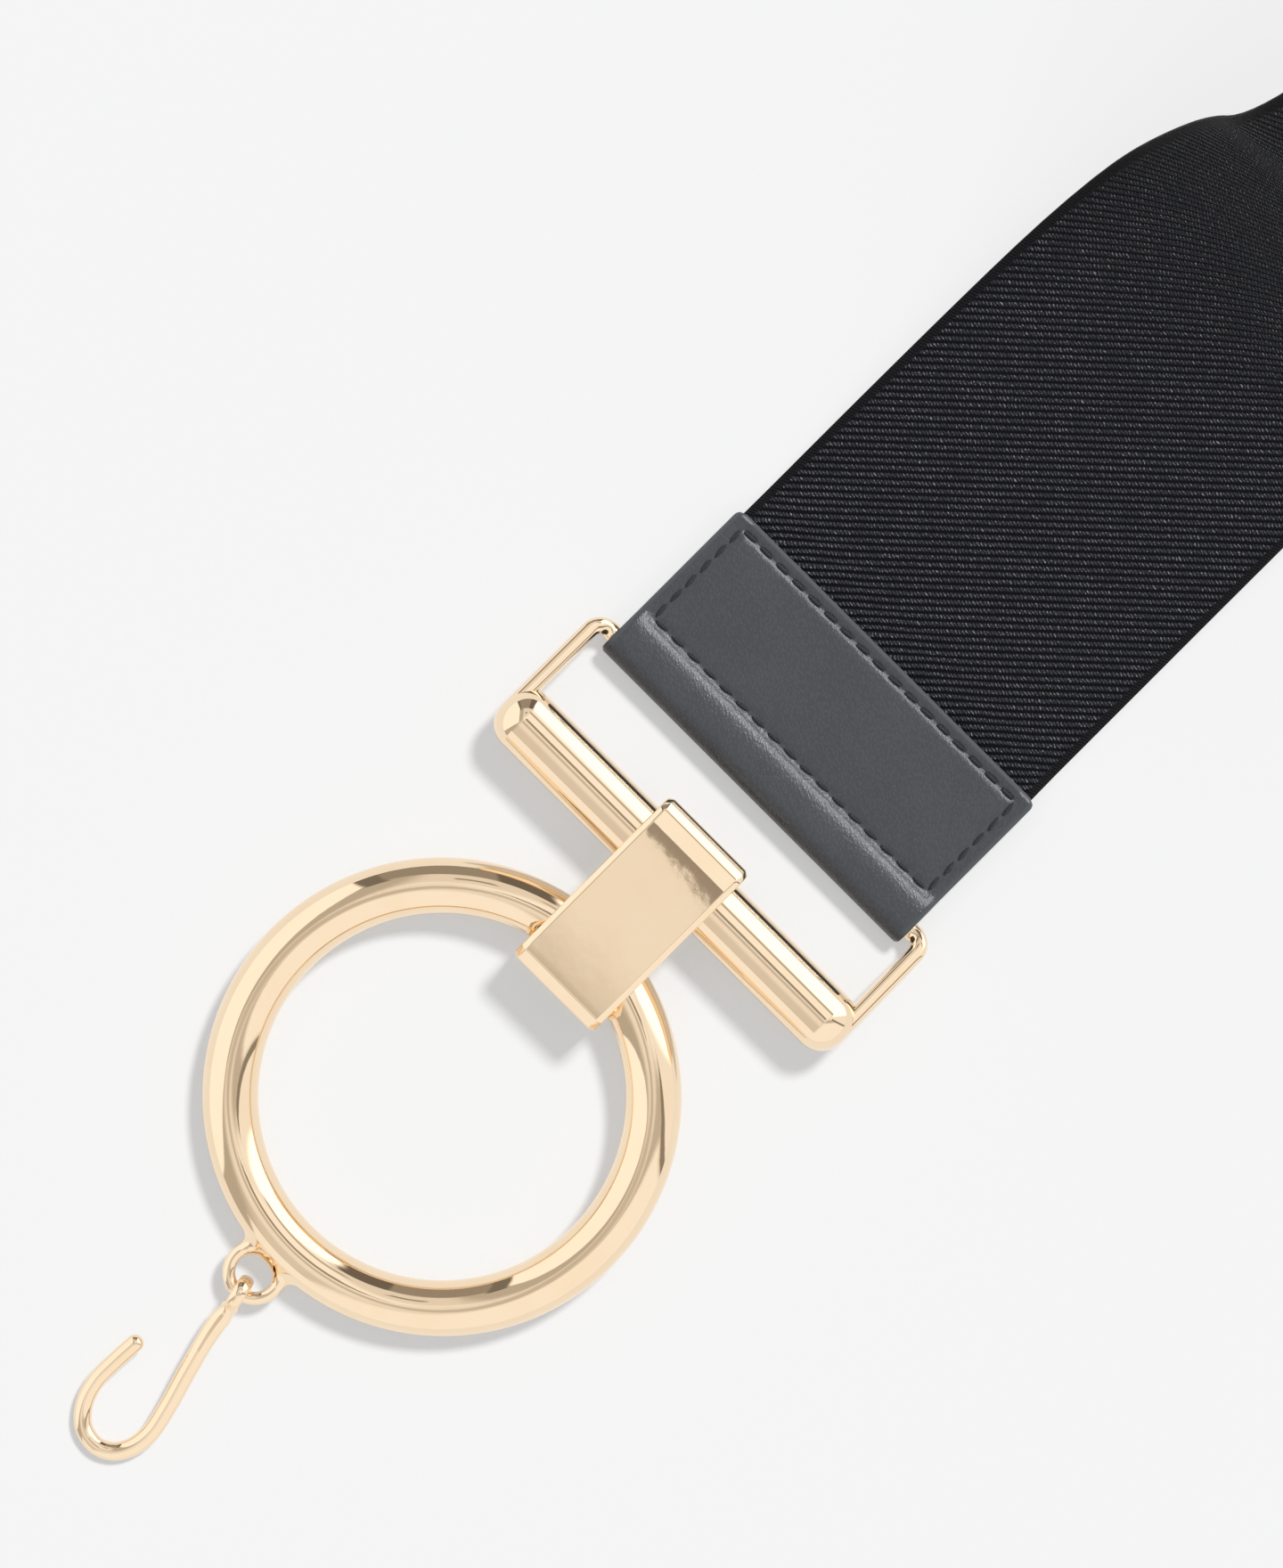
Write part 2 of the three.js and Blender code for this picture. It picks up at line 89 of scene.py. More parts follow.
class Tree:
    """Adds and links the nodes of one tree: a material's, the world's or a Geometry Nodes group's."""

    def __init__(self, tree: bpy.types.NodeTree) -> None:
        """Takes the tree to add to."""
        self.tree = tree

    def feed(self, socket: bpy.types.NodeSocket, value: object) -> None:
        """Links a socket to another one, or sets its value.

        Args:
            socket: the input socket.
            value: an output socket, a plain value, or None to leave the input alone.
        """
        if isinstance(value, bpy.types.NodeSocket):
            self.tree.links.new(value, socket)
        elif value is not None:
            socket.default_value = value

    def node(self, kind: str, *values: object, **options: object) -> bpy.types.Node:
        """Adds a node.

        Args:
            kind: Blender's name of the node type.
            values: what its inputs get, in order.
            options: the node's own settings.

        Returns:
            The new node.
        """
        made = self.tree.nodes.new(kind)
        for name, setting in options.items():
            setattr(made, name, setting)
        for socket, value in zip(made.inputs, values):
            self.feed(socket, value)
        return made

    def math(self, operation: str, *values: object) -> bpy.types.NodeSocket:
        """Adds a Math node and gives its result."""
        return self.node("ShaderNodeMath", *values, operation=operation).outputs[0]

    def total(self, *values: object) -> bpy.types.NodeSocket:
        """Adds up two values or more.

        Args:
            values: the values.

        Returns:
            Their sum.
        """
        result = values[0]
        for value in values[1:]:
            result = self.math("ADD", result, value)
        return result

    def geometry(self, kind: str, *values: object, **options: object) -> bpy.types.NodeSocket:
        """Adds a Geometry Nodes node and gives its first output."""
        return self.node("GeometryNode" + kind, *values, **options).outputs[0]

    def minus(self, first: object, second: object) -> bpy.types.NodeSocket:
        """Takes the second value from the first."""
        return self.math("SUBTRACT", first, second)

    def times(self, *values: object) -> bpy.types.NodeSocket:
        """Multiplies two values, and adds the third where there is one."""
        return self.math("MULTIPLY_ADD" if len(values) == 3 else "MULTIPLY", *values)

    def wave(self, turns: object) -> bpy.types.NodeSocket:
        """Gives a wave between 0 and 1 that repeats with each whole turn."""
        return self.times(self.math("SINE", self.times(turns, 2 * math.pi)), 0.5, 0.5)

    def vector(self, operation: str, *values: object, out: int = 0) -> bpy.types.NodeSocket:
        """Adds a Vector Math node and gives its vector, or its number where out is 1."""
        return self.node("ShaderNodeVectorMath", *values, operation=operation).outputs[out]

    def scaled(self, vector: object, factor: object) -> bpy.types.NodeSocket:
        """Scales a vector.

        Args:
            vector: what is scaled.
            factor: by how much.

        Returns:
            The scaled vector.
        """
        made = self.node("ShaderNodeVectorMath", vector, operation="SCALE")
        self.feed(made.inputs["Scale"], factor)
        return made.outputs[0]

    def spread(self, value: object, low: object, high: object, to_low: object = 0.0,
               to_high: object = 1.0, smooth: bool = False) -> bpy.types.NodeSocket:
        """Maps a value from one range to another and keeps it there.

        Args:
            value: what is mapped.
            low: where the first range starts.
            high: where it ends.
            to_low: where the second range starts.
            to_high: where it ends.
            smooth: whether it eases in and out.

        Returns:
            The mapped value.
        """
        kind = "SMOOTHSTEP" if smooth else "LINEAR"
        made = self.node("ShaderNodeMapRange", value, low, high, to_low, to_high, interpolation_type=kind)
        return made.outputs[0]

    def mix(self, share: object, first: object, second: object, kind: str = "RGBA") -> bpy.types.NodeSocket:
        """Mixes two colours or two numbers.

        Args:
            share: how much of the second shows.
            first: a colour or a number.
            second: another one.
            kind: RGBA for colours, FLOAT for numbers.

        Returns:
            The mixed value.
        """
        made = self.node("ShaderNodeMix", share, data_type=kind)
        inputs, result = (made.inputs[6:8], 2) if kind == "RGBA" else (made.inputs[2:4], 0)
        self.feed(inputs[0], first)
        self.feed(inputs[1], second)
        return made.outputs[result]

    def parts(self, vector: object) -> list[bpy.types.NodeSocket]:
        """Splits a vector into its X, Y and Z."""
        return list(self.node("ShaderNodeSeparateXYZ", vector).outputs)

    def joined(self, *values: object) -> bpy.types.NodeSocket:
        """Makes a vector from its X, Y and Z."""
        return self.node("ShaderNodeCombineXYZ", *values).outputs[0]


def rgba(colour: tuple[float, float, float]) -> tuple[float, float, float, float]:
    """Gives a colour its full alpha."""
    return (*colour, 1.0)


def new_group(name: str, kind: str, inputs: dict[str, str], output: tuple[str, str]) -> tuple:
    """Makes an empty node group.

    Args:
        name: the group's name.
        kind: its tree type.
        inputs: each input's name, with its socket type.
        output: its output's name and socket type.

    Returns:
        The group, a Tree on it, its inputs and the socket of its output.
    """
    group = bpy.data.node_groups.new(name, kind)
    for label, socket in inputs.items():
        group.interface.new_socket(label, in_out="INPUT", socket_type=f"NodeSocket{socket}")
    group.interface.new_socket(output[0], in_out="OUTPUT", socket_type=f"NodeSocket{output[1]}")
    tree = Tree(group)
    given = tree.node("NodeGroupInput").outputs
    return group, tree, given, tree.node("NodeGroupOutput").inputs[0]


class SharedEffects:
    """The shader node groups that more than one finish uses, each built once."""

    def __init__(self) -> None:
        """Builds the groups."""
        self.unevenness = self._unevenness()

    @staticmethod
    def _unevenness() -> bpy.types.NodeTree:
        """Makes a soft random value about 0, from -1 to 1, with spots of a given size.

        Returns:
            The node group.
        """
        group, tree, give, result = new_group(
            "Unevenness", "ShaderNodeTree", {"Vector": "Vector", "Spot Size mm": "Float", "Detail": "Float"},
            ("Value", "Float"))
        noise = tree.node("ShaderNodeTexNoise", give["Vector"])
        tree.feed(noise.inputs["Scale"], tree.math("DIVIDE", 1 / MM, give["Spot Size mm"]))
        tree.feed(noise.inputs["Detail"], give["Detail"])
        centred = tree.times(noise.outputs[0], 4.0, -2.0)
        tree.feed(result, tree.math("MAXIMUM", tree.math("MINIMUM", centred, 1.0), -1.0))
        return group


class Surface(Tree):
    """The tree of one material, with its Principled shader."""

    def __init__(self, name: str, shared: SharedEffects) -> None:
        """Makes the material.

        Args:
            name: its name.
            shared: the shared groups.
        """
        self.material = bpy.data.materials.new(name)
        self.material.use_nodes = True
        super().__init__(self.material.node_tree)
        self.tree.nodes.clear()
        self.shared = shared
        self.shader = self.node("ShaderNodeBsdfPrincipled")
        self.node("ShaderNodeOutputMaterial", self.shader.outputs[0])

    def look(self, label: str, value: object) -> None:
        """Feeds one of the shader's inputs."""
        self.feed(self.shader.inputs[label], value)

    def place(self) -> bpy.types.NodeSocket:
        """Gives the place on the piece, in metres."""
        return self.node("ShaderNodeTexCoord").outputs["Object"]

    def stored(self, name: str) -> bpy.types.Node:
        """Reads an attribute of the mesh."""
        return self.node("ShaderNodeAttribute", attribute_name=name)

    def uneven(self, place: object, spot: float, detail: float = 2.0) -> bpy.types.NodeSocket:
        """Places the shared unevenness.

        Args:
            place: where on the surface.
            spot: how large the spots are, in millimetres.
            detail: how much finer they break up.

        Returns:
            A value from -1 to 1.
        """
        made = self.node("ShaderNodeGroup", node_tree=self.shared.unevenness)
        for socket, value in zip(made.inputs, (place, spot, detail)):
            self.feed(socket, value)
        return made.outputs[0]

    def bump(self, height: object, depth: float) -> None:
        """Gives the shader a bumped normal.

        Args:
            height: the height, where 1 is one depth.
            depth: how high that is, in millimetres.
        """
        node = self.node("ShaderNodeBump")
        node.inputs["Distance"].default_value = depth * MM
        self.feed(node.inputs["Height"], height)
        self.look("Normal", node.outputs[0])


class Finish:
    """What every finish shares."""

    def build(self, name: str, shared: SharedEffects) -> bpy.types.Material:
        """Makes the material.

        Args:
            name: its name.
            shared: the shared groups.

        Returns:
            The material.
        """
        surface = Surface(name, shared)
        self.dress(surface)
        return surface.material

    def dress(self, surface: Surface) -> None:
        """Gives a surface its look: each finish has its own."""
        raise NotImplementedError


@dataclass(frozen=True)
class PolishedGold(Finish):
    """Mirror-polished pale gold plating, with the faint ripple of a polished casting."""

    colour: tuple[float, float, float] = (0.97, 0.78, 0.56)
    deep_colour: tuple[float, float, float] = (0.93, 0.71, 0.47)
    deep_share: float = 0.35
    roughness: float = 0.03
    haze: float = 0.02
    ripple_spot: float = 5.0
    ripple_depth: float = 0.0035
    grain_spot: float = 0.35
    grain_depth_share: float = 0.035

    def dress(self, surface: Surface) -> None:
        """Gives a surface this finish.

        Args:
            surface: the material's surface.
        """
        place = surface.place()
        ripple = surface.uneven(place, self.ripple_spot)
        grain = surface.uneven(place, self.grain_spot)
        tint = surface.spread(ripple, -1.0, 1.0, 0.0, self.deep_share)
        surface.look("Base Color", surface.mix(tint, rgba(self.colour), rgba(self.deep_colour)))
        surface.look("Roughness", surface.times(grain, self.haze / 2, self.roughness + self.haze / 2))
        surface.look("Metallic", 1.0)
        surface.bump(surface.times(grain, self.grain_depth_share, ripple), self.ripple_depth)


@dataclass(frozen=True)
class PebbledLeather(Finish):
    """Slate grey leather with a fine pebbled grain and painted, smoother edges."""

    colour: tuple[float, float, float] = (0.054, 0.059, 0.068)
    dark_colour: tuple[float, float, float] = (0.041, 0.044, 0.050)
    edge_colour: tuple[float, float, float] = (0.060, 0.065, 0.071)
    # painted shade on the leather's underside, warmed as by light bounced off the gold, and the heights over
    # which it fades
    underside_shade_colour: tuple[float, float, float] = (0.042, 0.034, 0.030)
    underside_shade_heights: tuple[float, float] = (1.2, 3.4)
    roughness: float = 0.41
    crease_gloss: float = 0.1
    edge_roughness: float = 0.42
    edge_width: float = 0.55
    edge_fade: float = 0.25
    specular: float = 0.55
    pebble_size: float = 0.38
    pebble_length: float = 1.7
    pebble_turn: float = 45.0
    pebble_softness: float = 0.35
    pebble_depth: float = 0.027
    crease_range: tuple[float, float] = (0.1, 0.75)
    warp_rate: float = 0.6
    warp_reach: float = 1.4
    patch_spot: float = 7.0
    patch_share: float = 0.35
    fine_spot: float = 0.22
    fine_share: float = 0.25

    def _pebbles(self, tree: Tree, place: object) -> bpy.types.NodeSocket:
        """Draws the pebbles, which are long, slanted and bent at random.

        Args:
            tree: the material's surface.
            place: where on it.

        Returns:
            1 in a pebble's middle, 0 in a crease.
        """
        size = self.pebble_size * MM
        warp = tree.node("ShaderNodeTexNoise", place)
        warp.inputs["Scale"].default_value = self.warp_rate / size
        bent = tree.scaled(tree.vector("SUBTRACT", warp.outputs[1], (0.5, 0.5, 0.5)), size * self.warp_reach)
        turned = tree.node("ShaderNodeMapping", tree.vector("ADD", place, bent), vector_type="TEXTURE")
        turned.inputs["Rotation"].default_value = (0.0, 0.0, math.radians(self.pebble_turn))
        turned.inputs["Scale"].default_value = (self.pebble_length, 1.0, 1.0)
        pebbles = tree.node("ShaderNodeTexVoronoi", turned.outputs[0], feature="SMOOTH_F1")
        pebbles.inputs["Scale"].default_value = 1 / size
        pebbles.inputs["Smoothness"].default_value = self.pebble_softness
        return tree.spread(pebbles.outputs[0], *self.crease_range, 1.0, 0.0, smooth=True)

    def dress(self, surface: Surface) -> None:
        """Gives a surface this finish.

        Args:
            surface: the material's surface.
        """
        place = surface.place()
        distance = surface.stored(EDGE).outputs["Fac"]
        end = self.edge_width + self.edge_fade
        paint = surface.spread(distance, self.edge_width, end, 1.0, 0.0, smooth=True)
        pebbles = self._pebbles(surface, place)
        patches = surface.uneven(place, self.patch_spot, 3.0)
        fine = surface.uneven(place, self.fine_spot)
        shade = surface.spread(surface.total(pebbles, surface.times(patches, self.patch_share)), 0.0, 1.0)
        body = surface.mix(shade, rgba(self.dark_colour), rgba(self.colour))
        # Painted shade, warmed as by light bounced off the gold, darkens the leather towards its underside
        # and fades out between these two heights.
        lowest, highest = (height * MM for height in self.underside_shade_heights)
        low = surface.spread(surface.parts(place)[2], lowest, highest, 1.0, 0.0, smooth=True)
        body = surface.mix(low, body, rgba(self.underside_shade_colour))
        surface.look("Base Color", surface.mix(paint, body, rgba(self.edge_colour)))
        worn = surface.times(pebbles, -self.crease_gloss, self.roughness)
        surface.look("Roughness", surface.mix(paint, worn, self.edge_roughness, "FLOAT"))
        surface.look("Specular IOR Level", self.specular)
        height = surface.times(surface.times(fine, self.fine_share, pebbles), surface.minus(1.0, paint))
        surface.bump(height, self.pebble_depth)


@dataclass(frozen=True)
class WovenElastic(Finish):
    """Near-black elastic webbing: slanted floats across each diagonal rib, and a plain dense selvedge."""

    weave: "Weave"
    # painted shade: the dark colour of the grooves between ribs, the ribs' flanks and the selvedge's valleys
    groove_shade_colour: tuple[float, float, float] = (0.0015, 0.0015, 0.002)
    yarn_colour: tuple[float, float, float] = (0.032, 0.033, 0.042)
    glint_colour: tuple[float, float, float] = (0.36, 0.36, 0.36)
    selvedge_colour: tuple[float, float, float] = (0.014, 0.012, 0.014)
    roughness: float = 0.66
    roughness_spread: float = 0.08
    specular: float = 0.12
    sheen: float = 0.03
    sheen_roughness: float = 0.4
    float_pitch: float = 0.48
    float_way: tuple[float, float] = (0.945, -0.326)
    float_wander: float = 0.34
    wander_spot: float = 0.8
    scallop: float = 0.36
    body_range: tuple[float, float] = (0.3, 0.88)
    float_share: float = 0.6
    # skews each rib so that its side away from the light is wider and lower, which the colour shows as
    # painted shade
    rib_skew: float = 1.3
    selvedge_pitch: float = 0.5
    selvedge_lean: float = 0.45
    selvedge_depth_share: float = 0.6
    selvedge_fade: float = 0.15
    yarn_shade_range: tuple[float, float] = (0.1, 0.85)
    yarn_depth: float = 0.13
    glint_from: float = 0.78
    glint_range: tuple[float, float] = (-0.1, 1.1)
    speckle_spot: float = 0.45
    patch_spot: float = 4.5
    patch_share: float = 0.2

    def _yarn(self, surface: Surface, along: object, across: object, flat: object) -> bpy.types.NodeSocket:
        """Draws the ribs: the phase across each rib shapes a row of slanted floats.

        Args:
            surface: the material's surface.
            along: how far along the strap, in millimetres.
            across: how far across it.
            flat: the place on the flat strap.

        Returns:
            The yarn's height, from 0 to 1.
        """
        row = surface.math("DIVIDE", surface.times(across, -self.weave.lean, along), self.weave.spacing)
        # The skew widens and lowers each rib's low-phase side, away from the light, so painted shade falls
        # there.
        phase = surface.math("POWER", surface.math("FRACT", row), self.rib_skew)
        hump = surface.math("SINE", surface.times(phase, math.pi))
        wander = surface.uneven(flat, self.wander_spot)
        along_share, across_share = (share / self.float_pitch for share in self.float_way)
        turns = surface.total(surface.times(along, along_share), surface.times(across, across_share),
                              surface.times(wander, self.float_wander))
        floats = surface.wave(turns)
        scalloped = surface.times(floats, self.scallop, surface.minus(hump, self.scallop / 2))
        body = surface.spread(scalloped, *self.body_range, smooth=True)
        return surface.times(surface.times(floats, self.float_share, 1 - self.float_share), body)

    def dress(self, surface: Surface) -> None:
        """Gives a surface this finish.

        Args:
            surface: the material's surface.
        """
        place = surface.parts(surface.stored(PLACE).outputs["Vector"])
        along, across, _ = (surface.times(part, 1 / MM) for part in place)
        flat = surface.joined(*place[:2], 0.0)
        yarn = self._yarn(surface, along, across, flat)
        woven, fade = self.weave.half_width - self.weave.selvedge, self.selvedge_fade
        edge = surface.spread(surface.math("ABSOLUTE", across), woven - fade, woven + fade, smooth=True)
        slanted = surface.times(across, self.selvedge_lean, along)
        ridges = surface.wave(surface.times(slanted, 1 / self.selvedge_pitch))

        speckle = surface.uneven(flat, self.speckle_spot)
        patches = surface.uneven(flat, self.patch_spot, 3.0)
        bright = surface.total(speckle, surface.times(patches, self.patch_share))
        bright = surface.spread(bright, *self.glint_range)
        # Painted highlight: pale glints on the rib tops, in speckled patches.
        glint = surface.times(surface.spread(yarn, self.glint_from, 1.0, smooth=True), bright)
        # Painted shade: where the yarn is low, in the grooves and on the ribs' flanks, the colour falls to
        # the groove shade.
        groove = rgba(self.groove_shade_colour)
        colour = surface.mix(surface.spread(yarn, *self.yarn_shade_range), groove, rgba(self.yarn_colour))
        colour = surface.mix(glint, colour, rgba(self.glint_colour))
        # The selvedge's fine ridges get the same painted shade in the valleys between them.
        plain = surface.mix(ridges, groove, rgba(self.selvedge_colour))
        surface.look("Base Color", surface.mix(edge, colour, plain))
        surface.look("Roughness", surface.times(speckle, self.roughness_spread, self.roughness))
        surface.look("Specular IOR Level", self.specular)
        surface.look("Sheen Weight", self.sheen)
        surface.look("Sheen Roughness", self.sheen_roughness)
        height = surface.mix(edge, yarn, surface.times(ridges, self.selvedge_depth_share), "FLOAT")
        surface.bump(height, self.yarn_depth)


@dataclass(frozen=True)
class SewingThread(Finish):
    """Black waxed thread, twisted."""

    colour: tuple[float, float, float] = (0.012, 0.012, 0.014)
    light_colour: tuple[float, float, float] = (0.03, 0.03, 0.034)
    roughness: float = 0.5
    twist_pitch: float = 0.35
    twist_depth: float = 0.04
    fuzz_spot: float = 0.15
    fuzz_share: float = 0.5
    shade_reach: float = 1.2

    def dress(self, surface: Surface) -> None:
        """Gives a surface this finish.

        Args:
            surface: the material's surface.
        """
        place = surface.place()
        x, y, z = surface.parts(place)
        slanted = surface.total(x, y, surface.times(z, 2.0))
        strands = surface.math("SINE", surface.times(slanted, 2 * math.pi / (self.twist_pitch * MM)))
        fuzz = surface.uneven(place, self.fuzz_spot)
        reach = self.shade_reach
        shade = surface.spread(surface.times(fuzz, self.fuzz_share, strands), -reach, reach)
        surface.look("Base Color", surface.mix(shade, rgba(self.colour), rgba(self.light_colour)))
        surface.look("Roughness", self.roughness)
        surface.bump(strands, self.twist_depth)


@dataclass(frozen=True)
class PaleFloor(Finish):
    """The plain pale sheet that the belt lies on, lit a little from below so that its shadows stay soft."""

    colour: tuple[float, float, float] = (0.47, 0.47, 0.47)
    glow: float = 0.415
    roughness: float = 0.9

    def dress(self, surface: Surface) -> None:
        """Gives a surface this finish.

        Args:
            surface: the material's surface.
        """
        surface.look("Base Color", rgba(self.colour))
        surface.look("Roughness", self.roughness)
        surface.look("Specular IOR Level", 0.0)
        surface.look("Emission Color", rgba((1.0, 1.0, 1.0)))
        surface.look("Emission Strength", self.glow)


# Meshes


def add_object(name: str, data: bpy.types.ID) -> bpy.types.Object:
    """Puts an object in the scene.

    Args:
        name: its name.
        data: its mesh, camera or light.

    Returns:
        The object, at the origin.
    """
    made = bpy.data.objects.new(name, data)
    bpy.context.scene.collection.objects.link(made)
    return made


def shade(obj: bpy.types.Object, sharp_degrees: float) -> bpy.types.Object:
    """Shades a mesh smooth apart from its sharp edges.

    Args:
        obj: the object.
        sharp_degrees: edges that turn by more than this are sharp.

    Returns:
        The same object.
    """
    obj.data.shade_smooth()
    if sharp_degrees < 180:
        obj.data.set_sharp_from_angle(angle=math.radians(sharp_degrees))
    return obj


def new_mesh(name: str, points: np.ndarray, faces: list, **stored: np.ndarray) -> bpy.types.Mesh:
    """Makes a mesh.

    Args:
        name: its name.
        points: its vertices in millimetres.
        faces: each face's vertex numbers.
        stored: values that are kept with the vertices, one number or three for each.

    Returns:
        The mesh.
    """
    mesh = bpy.data.meshes.new(name)
    mesh.from_pydata((np.asarray(points, float).reshape(-1, 3) * MM).tolist(), [], faces)
    for label, values in stored.items():
        kind, key = ("FLOAT", "value") if values.ndim == 1 else ("FLOAT_VECTOR", "vector")
        mesh.attributes.new(label, kind, "POINT").data.foreach_set(key, values.astype(np.float32).ravel())
    return mesh


def make_object(name: str, points: np.ndarray, faces: list, sharp_degrees: float = 180.0) -> bpy.types.Object:
    """Makes a closed, smooth-shaded mesh object with its faces outwards.

    Args:
        name: the object's name.
        points: its vertices in millimetres.
        faces: each face's vertex numbers.
        sharp_degrees: edges that turn by more than this stay sharp.

    Returns:
        The object, at the origin.
    """
    mesh = new_mesh(name, points, faces)
    made = bmesh.new()
    made.from_mesh(mesh)
    bmesh.ops.recalc_face_normals(made, faces=made.faces)
    made.to_mesh(mesh)
    made.free()
    return shade(add_object(name, mesh), sharp_degrees)


def settle(obj: bpy.types.Object) -> bpy.types.Object:
    """Turns an object's modifiers into its plain mesh.

    Args:
        obj: the object.

    Returns:
        The same object.
    """
    graph = bpy.context.evaluated_depsgraph_get()
    result = bpy.data.meshes.new_from_object(obj.evaluated_get(graph))
    obj.modifiers.clear()
    obj.data = result
    return obj


def rings_to_faces(rings: int, around: int, endless: bool = False) -> list:
    """Joins rings of points into faces.

    Args:
        rings: how many rings there are.
        around: how many points each has.
        endless: whether the last ring joins the first.

    Returns:
        The faces, with a flat one on each end ring unless it is endless.
    """
    faces = []
    for i in range(rings if endless else rings - 1):
        after = (i + 1) % rings
        for j in range(around):
            beside = (j + 1) % around
            faces.append((i * around + j, i * around + beside, after * around + beside, after * around + j))
    if not endless:
        faces.append(tuple(range(around))[::-1])
        faces.append(tuple((rings - 1) * around + j for j in range(around)))
    return faces


def unit(vectors: np.ndarray) -> np.ndarray:
    """Scales each vector to length 1."""
    return vectors / np.linalg.norm(vectors, axis=-1, keepdims=True)


def ease(share: np.ndarray) -> np.ndarray:
    """Eases a share in at 0 and out at 1, where it stays."""
    share = np.clip(share, 0, 1)
    return share ** 2 * (3 - 2 * share)


def sweep(path: np.ndarray, wide: np.ndarray | float, high: np.ndarray | float, around: int,
          squareness: np.ndarray | float = 2.0, up: tuple[float, float, float] = (0.0, 0.0, 1.0),
          endless: bool = False) -> tuple[np.ndarray, list]:
    """Sweeps an oval or a rounded square along a path.

    Args:
        path: the points that it follows.
        wide: half its width, the same all along or at each point.
        high: half its height, likewise.
        around: how many points each ring has.
        squareness: 2 for an oval, more for a squarer section.
        up: the direction that its height is measured in.
        endless: whether the path closes on itself.

    Returns:
        The points and the faces.
    """
    if endless:
        tangent = unit(np.roll(path, -1, axis=0) - np.roll(path, 1, axis=0))
    else:
        tangent = unit(np.gradient(path, axis=0))
    side = unit(np.cross(np.array(up, float), tangent))
    top = np.cross(tangent, side)
    angle = np.linspace(0, 2 * np.pi, around, endpoint=False)[None, :]
    wide, high, square = (np.broadcast_to(value, len(path))[:, None] for value in (wide, high, squareness))
    across = np.sign(np.cos(angle)) * np.abs(np.cos(angle)) ** (2 / square) * wide
    above = np.sign(np.sin(angle)) * np.abs(np.sin(angle)) ** (2 / square) * high
    points = path[:, None, :] + across[..., None] * side[:, None, :] + above[..., None] * top[:, None, :]
    return points.reshape(-1, 3), rings_to_faces(len(path), around, endless)


def arc(centre: tuple[float, float], radius: float, start: float, end: float, count: int) -> np.ndarray:
    """Gives the points of an arc in a plane, between two angles in degrees."""
    angle = np.radians(np.linspace(start, end, count))
    return np.stack([centre[0] + radius * np.cos(angle), centre[1] + radius * np.sin(angle)], axis=1)


def along_line(points: np.ndarray, step: float, endless: bool = False) -> np.ndarray:
    """Spaces points evenly along a line through the given ones.

    Args:
        points: the line's points.
        step: about how far apart the new ones are.
        endless: whether the line closes on itself.

    Returns:
        The new points.
    """
    line = np.vstack([points, points[:1]]) if endless else points
    length = np.concatenate([[0], np.cumsum(np.linalg.norm(np.diff(line, axis=0), axis=1))])
    count = max(2, round(length[-1] / step))
    at = np.linspace(0, length[-1], count + 1)[:-1 if endless else None]
    return np.stack([np.interp(at, length, line[:, k]) for k in range(line.shape[1])], axis=1)


def smooth_line(points: np.ndarray, step: float, samples: int = 24) -> np.ndarray:
    """Draws a smooth curve through points, as a Catmull-Rom spline.

    Args:
        points: what it passes through.
        step: about how far apart the curve's points are.
        samples: how often each span is sampled before the points are spaced evenly.

    Returns:
        The curve's points.
    """
    ends = np.vstack([2 * points[0] - points[1], points, 2 * points[-1] - points[-2]])
    share = np.linspace(0, 1, samples, endpoint=False)[:, None]
    line = []
    for a, b, c, d in zip(ends, ends[1:], ends[2:], ends[3:]):
        line.append(0.5 * (2 * b + (c - a) * share + (2 * a - 5 * b + 4 * c - d) * share ** 2
                           + (3 * b - a - 3 * c + d) * share ** 3))
    return along_line(np.vstack([*line, points[-1:]]), step)


def unite(base: bpy.types.Object, others: list[bpy.types.Object]) -> bpy.types.Object:
    """Joins closed shells into one.

    Args:
        base: the object that is kept.
        others: the objects that are joined to it and removed.

    Returns:
        The base object.
    """
    for other in others:
        union = base.modifiers.new("union", "BOOLEAN")
        union.operation = "UNION"
        union.solver = "EXACT"
        union.object = other
    settle(base)
    for other in others:
        bpy.data.objects.remove(other)
    return base


def soften_joint(obj: bpy.types.Object, fields: list, fillet: float, rounds: int = 4) -> None:
    """Moves the vertices near where shapes meet, so that a fillet joins them.

    Args:
        obj: the object, which is the union of the shapes.
        fields: for each shape, a function from points in millimetres to distances from its surface.
        fillet: about how wide the fillet is.
        rounds: how often the vertices are moved.
    """
    mesh = obj.data
    points = np.zeros(len(mesh.vertices) * 3)
    mesh.vertices.foreach_get("co", points)
    points = points.reshape(-1, 3) / MM

    def blended(where: np.ndarray) -> np.ndarray:
        """Gives the distance to the shapes joined by the fillet."""
        first, second = (f(where) for f in fields)
        near = np.clip(fillet - np.abs(first - second), 0, None) / fillet
        return np.minimum(first, second) - near ** 2 * fillet / 4

    first, second = (f(points) for f in fields)
    chosen = np.abs(first - second) < fillet
    nudge, least_slope = 1e-3, 0.5
    for _ in range(rounds):
        here = points[chosen]
        value = blended(here)
        slope = np.stack([(blended(here + nudge * axis) - value) / nudge for axis in np.eye(3)], axis=1)
        steep = np.maximum((slope ** 2).sum(axis=1), least_slope ** 2)
        points[chosen] = here - slope * (value / steep)[:, None]
    mesh.vertices.foreach_set("co", (points * MM).ravel())
    mesh.update()


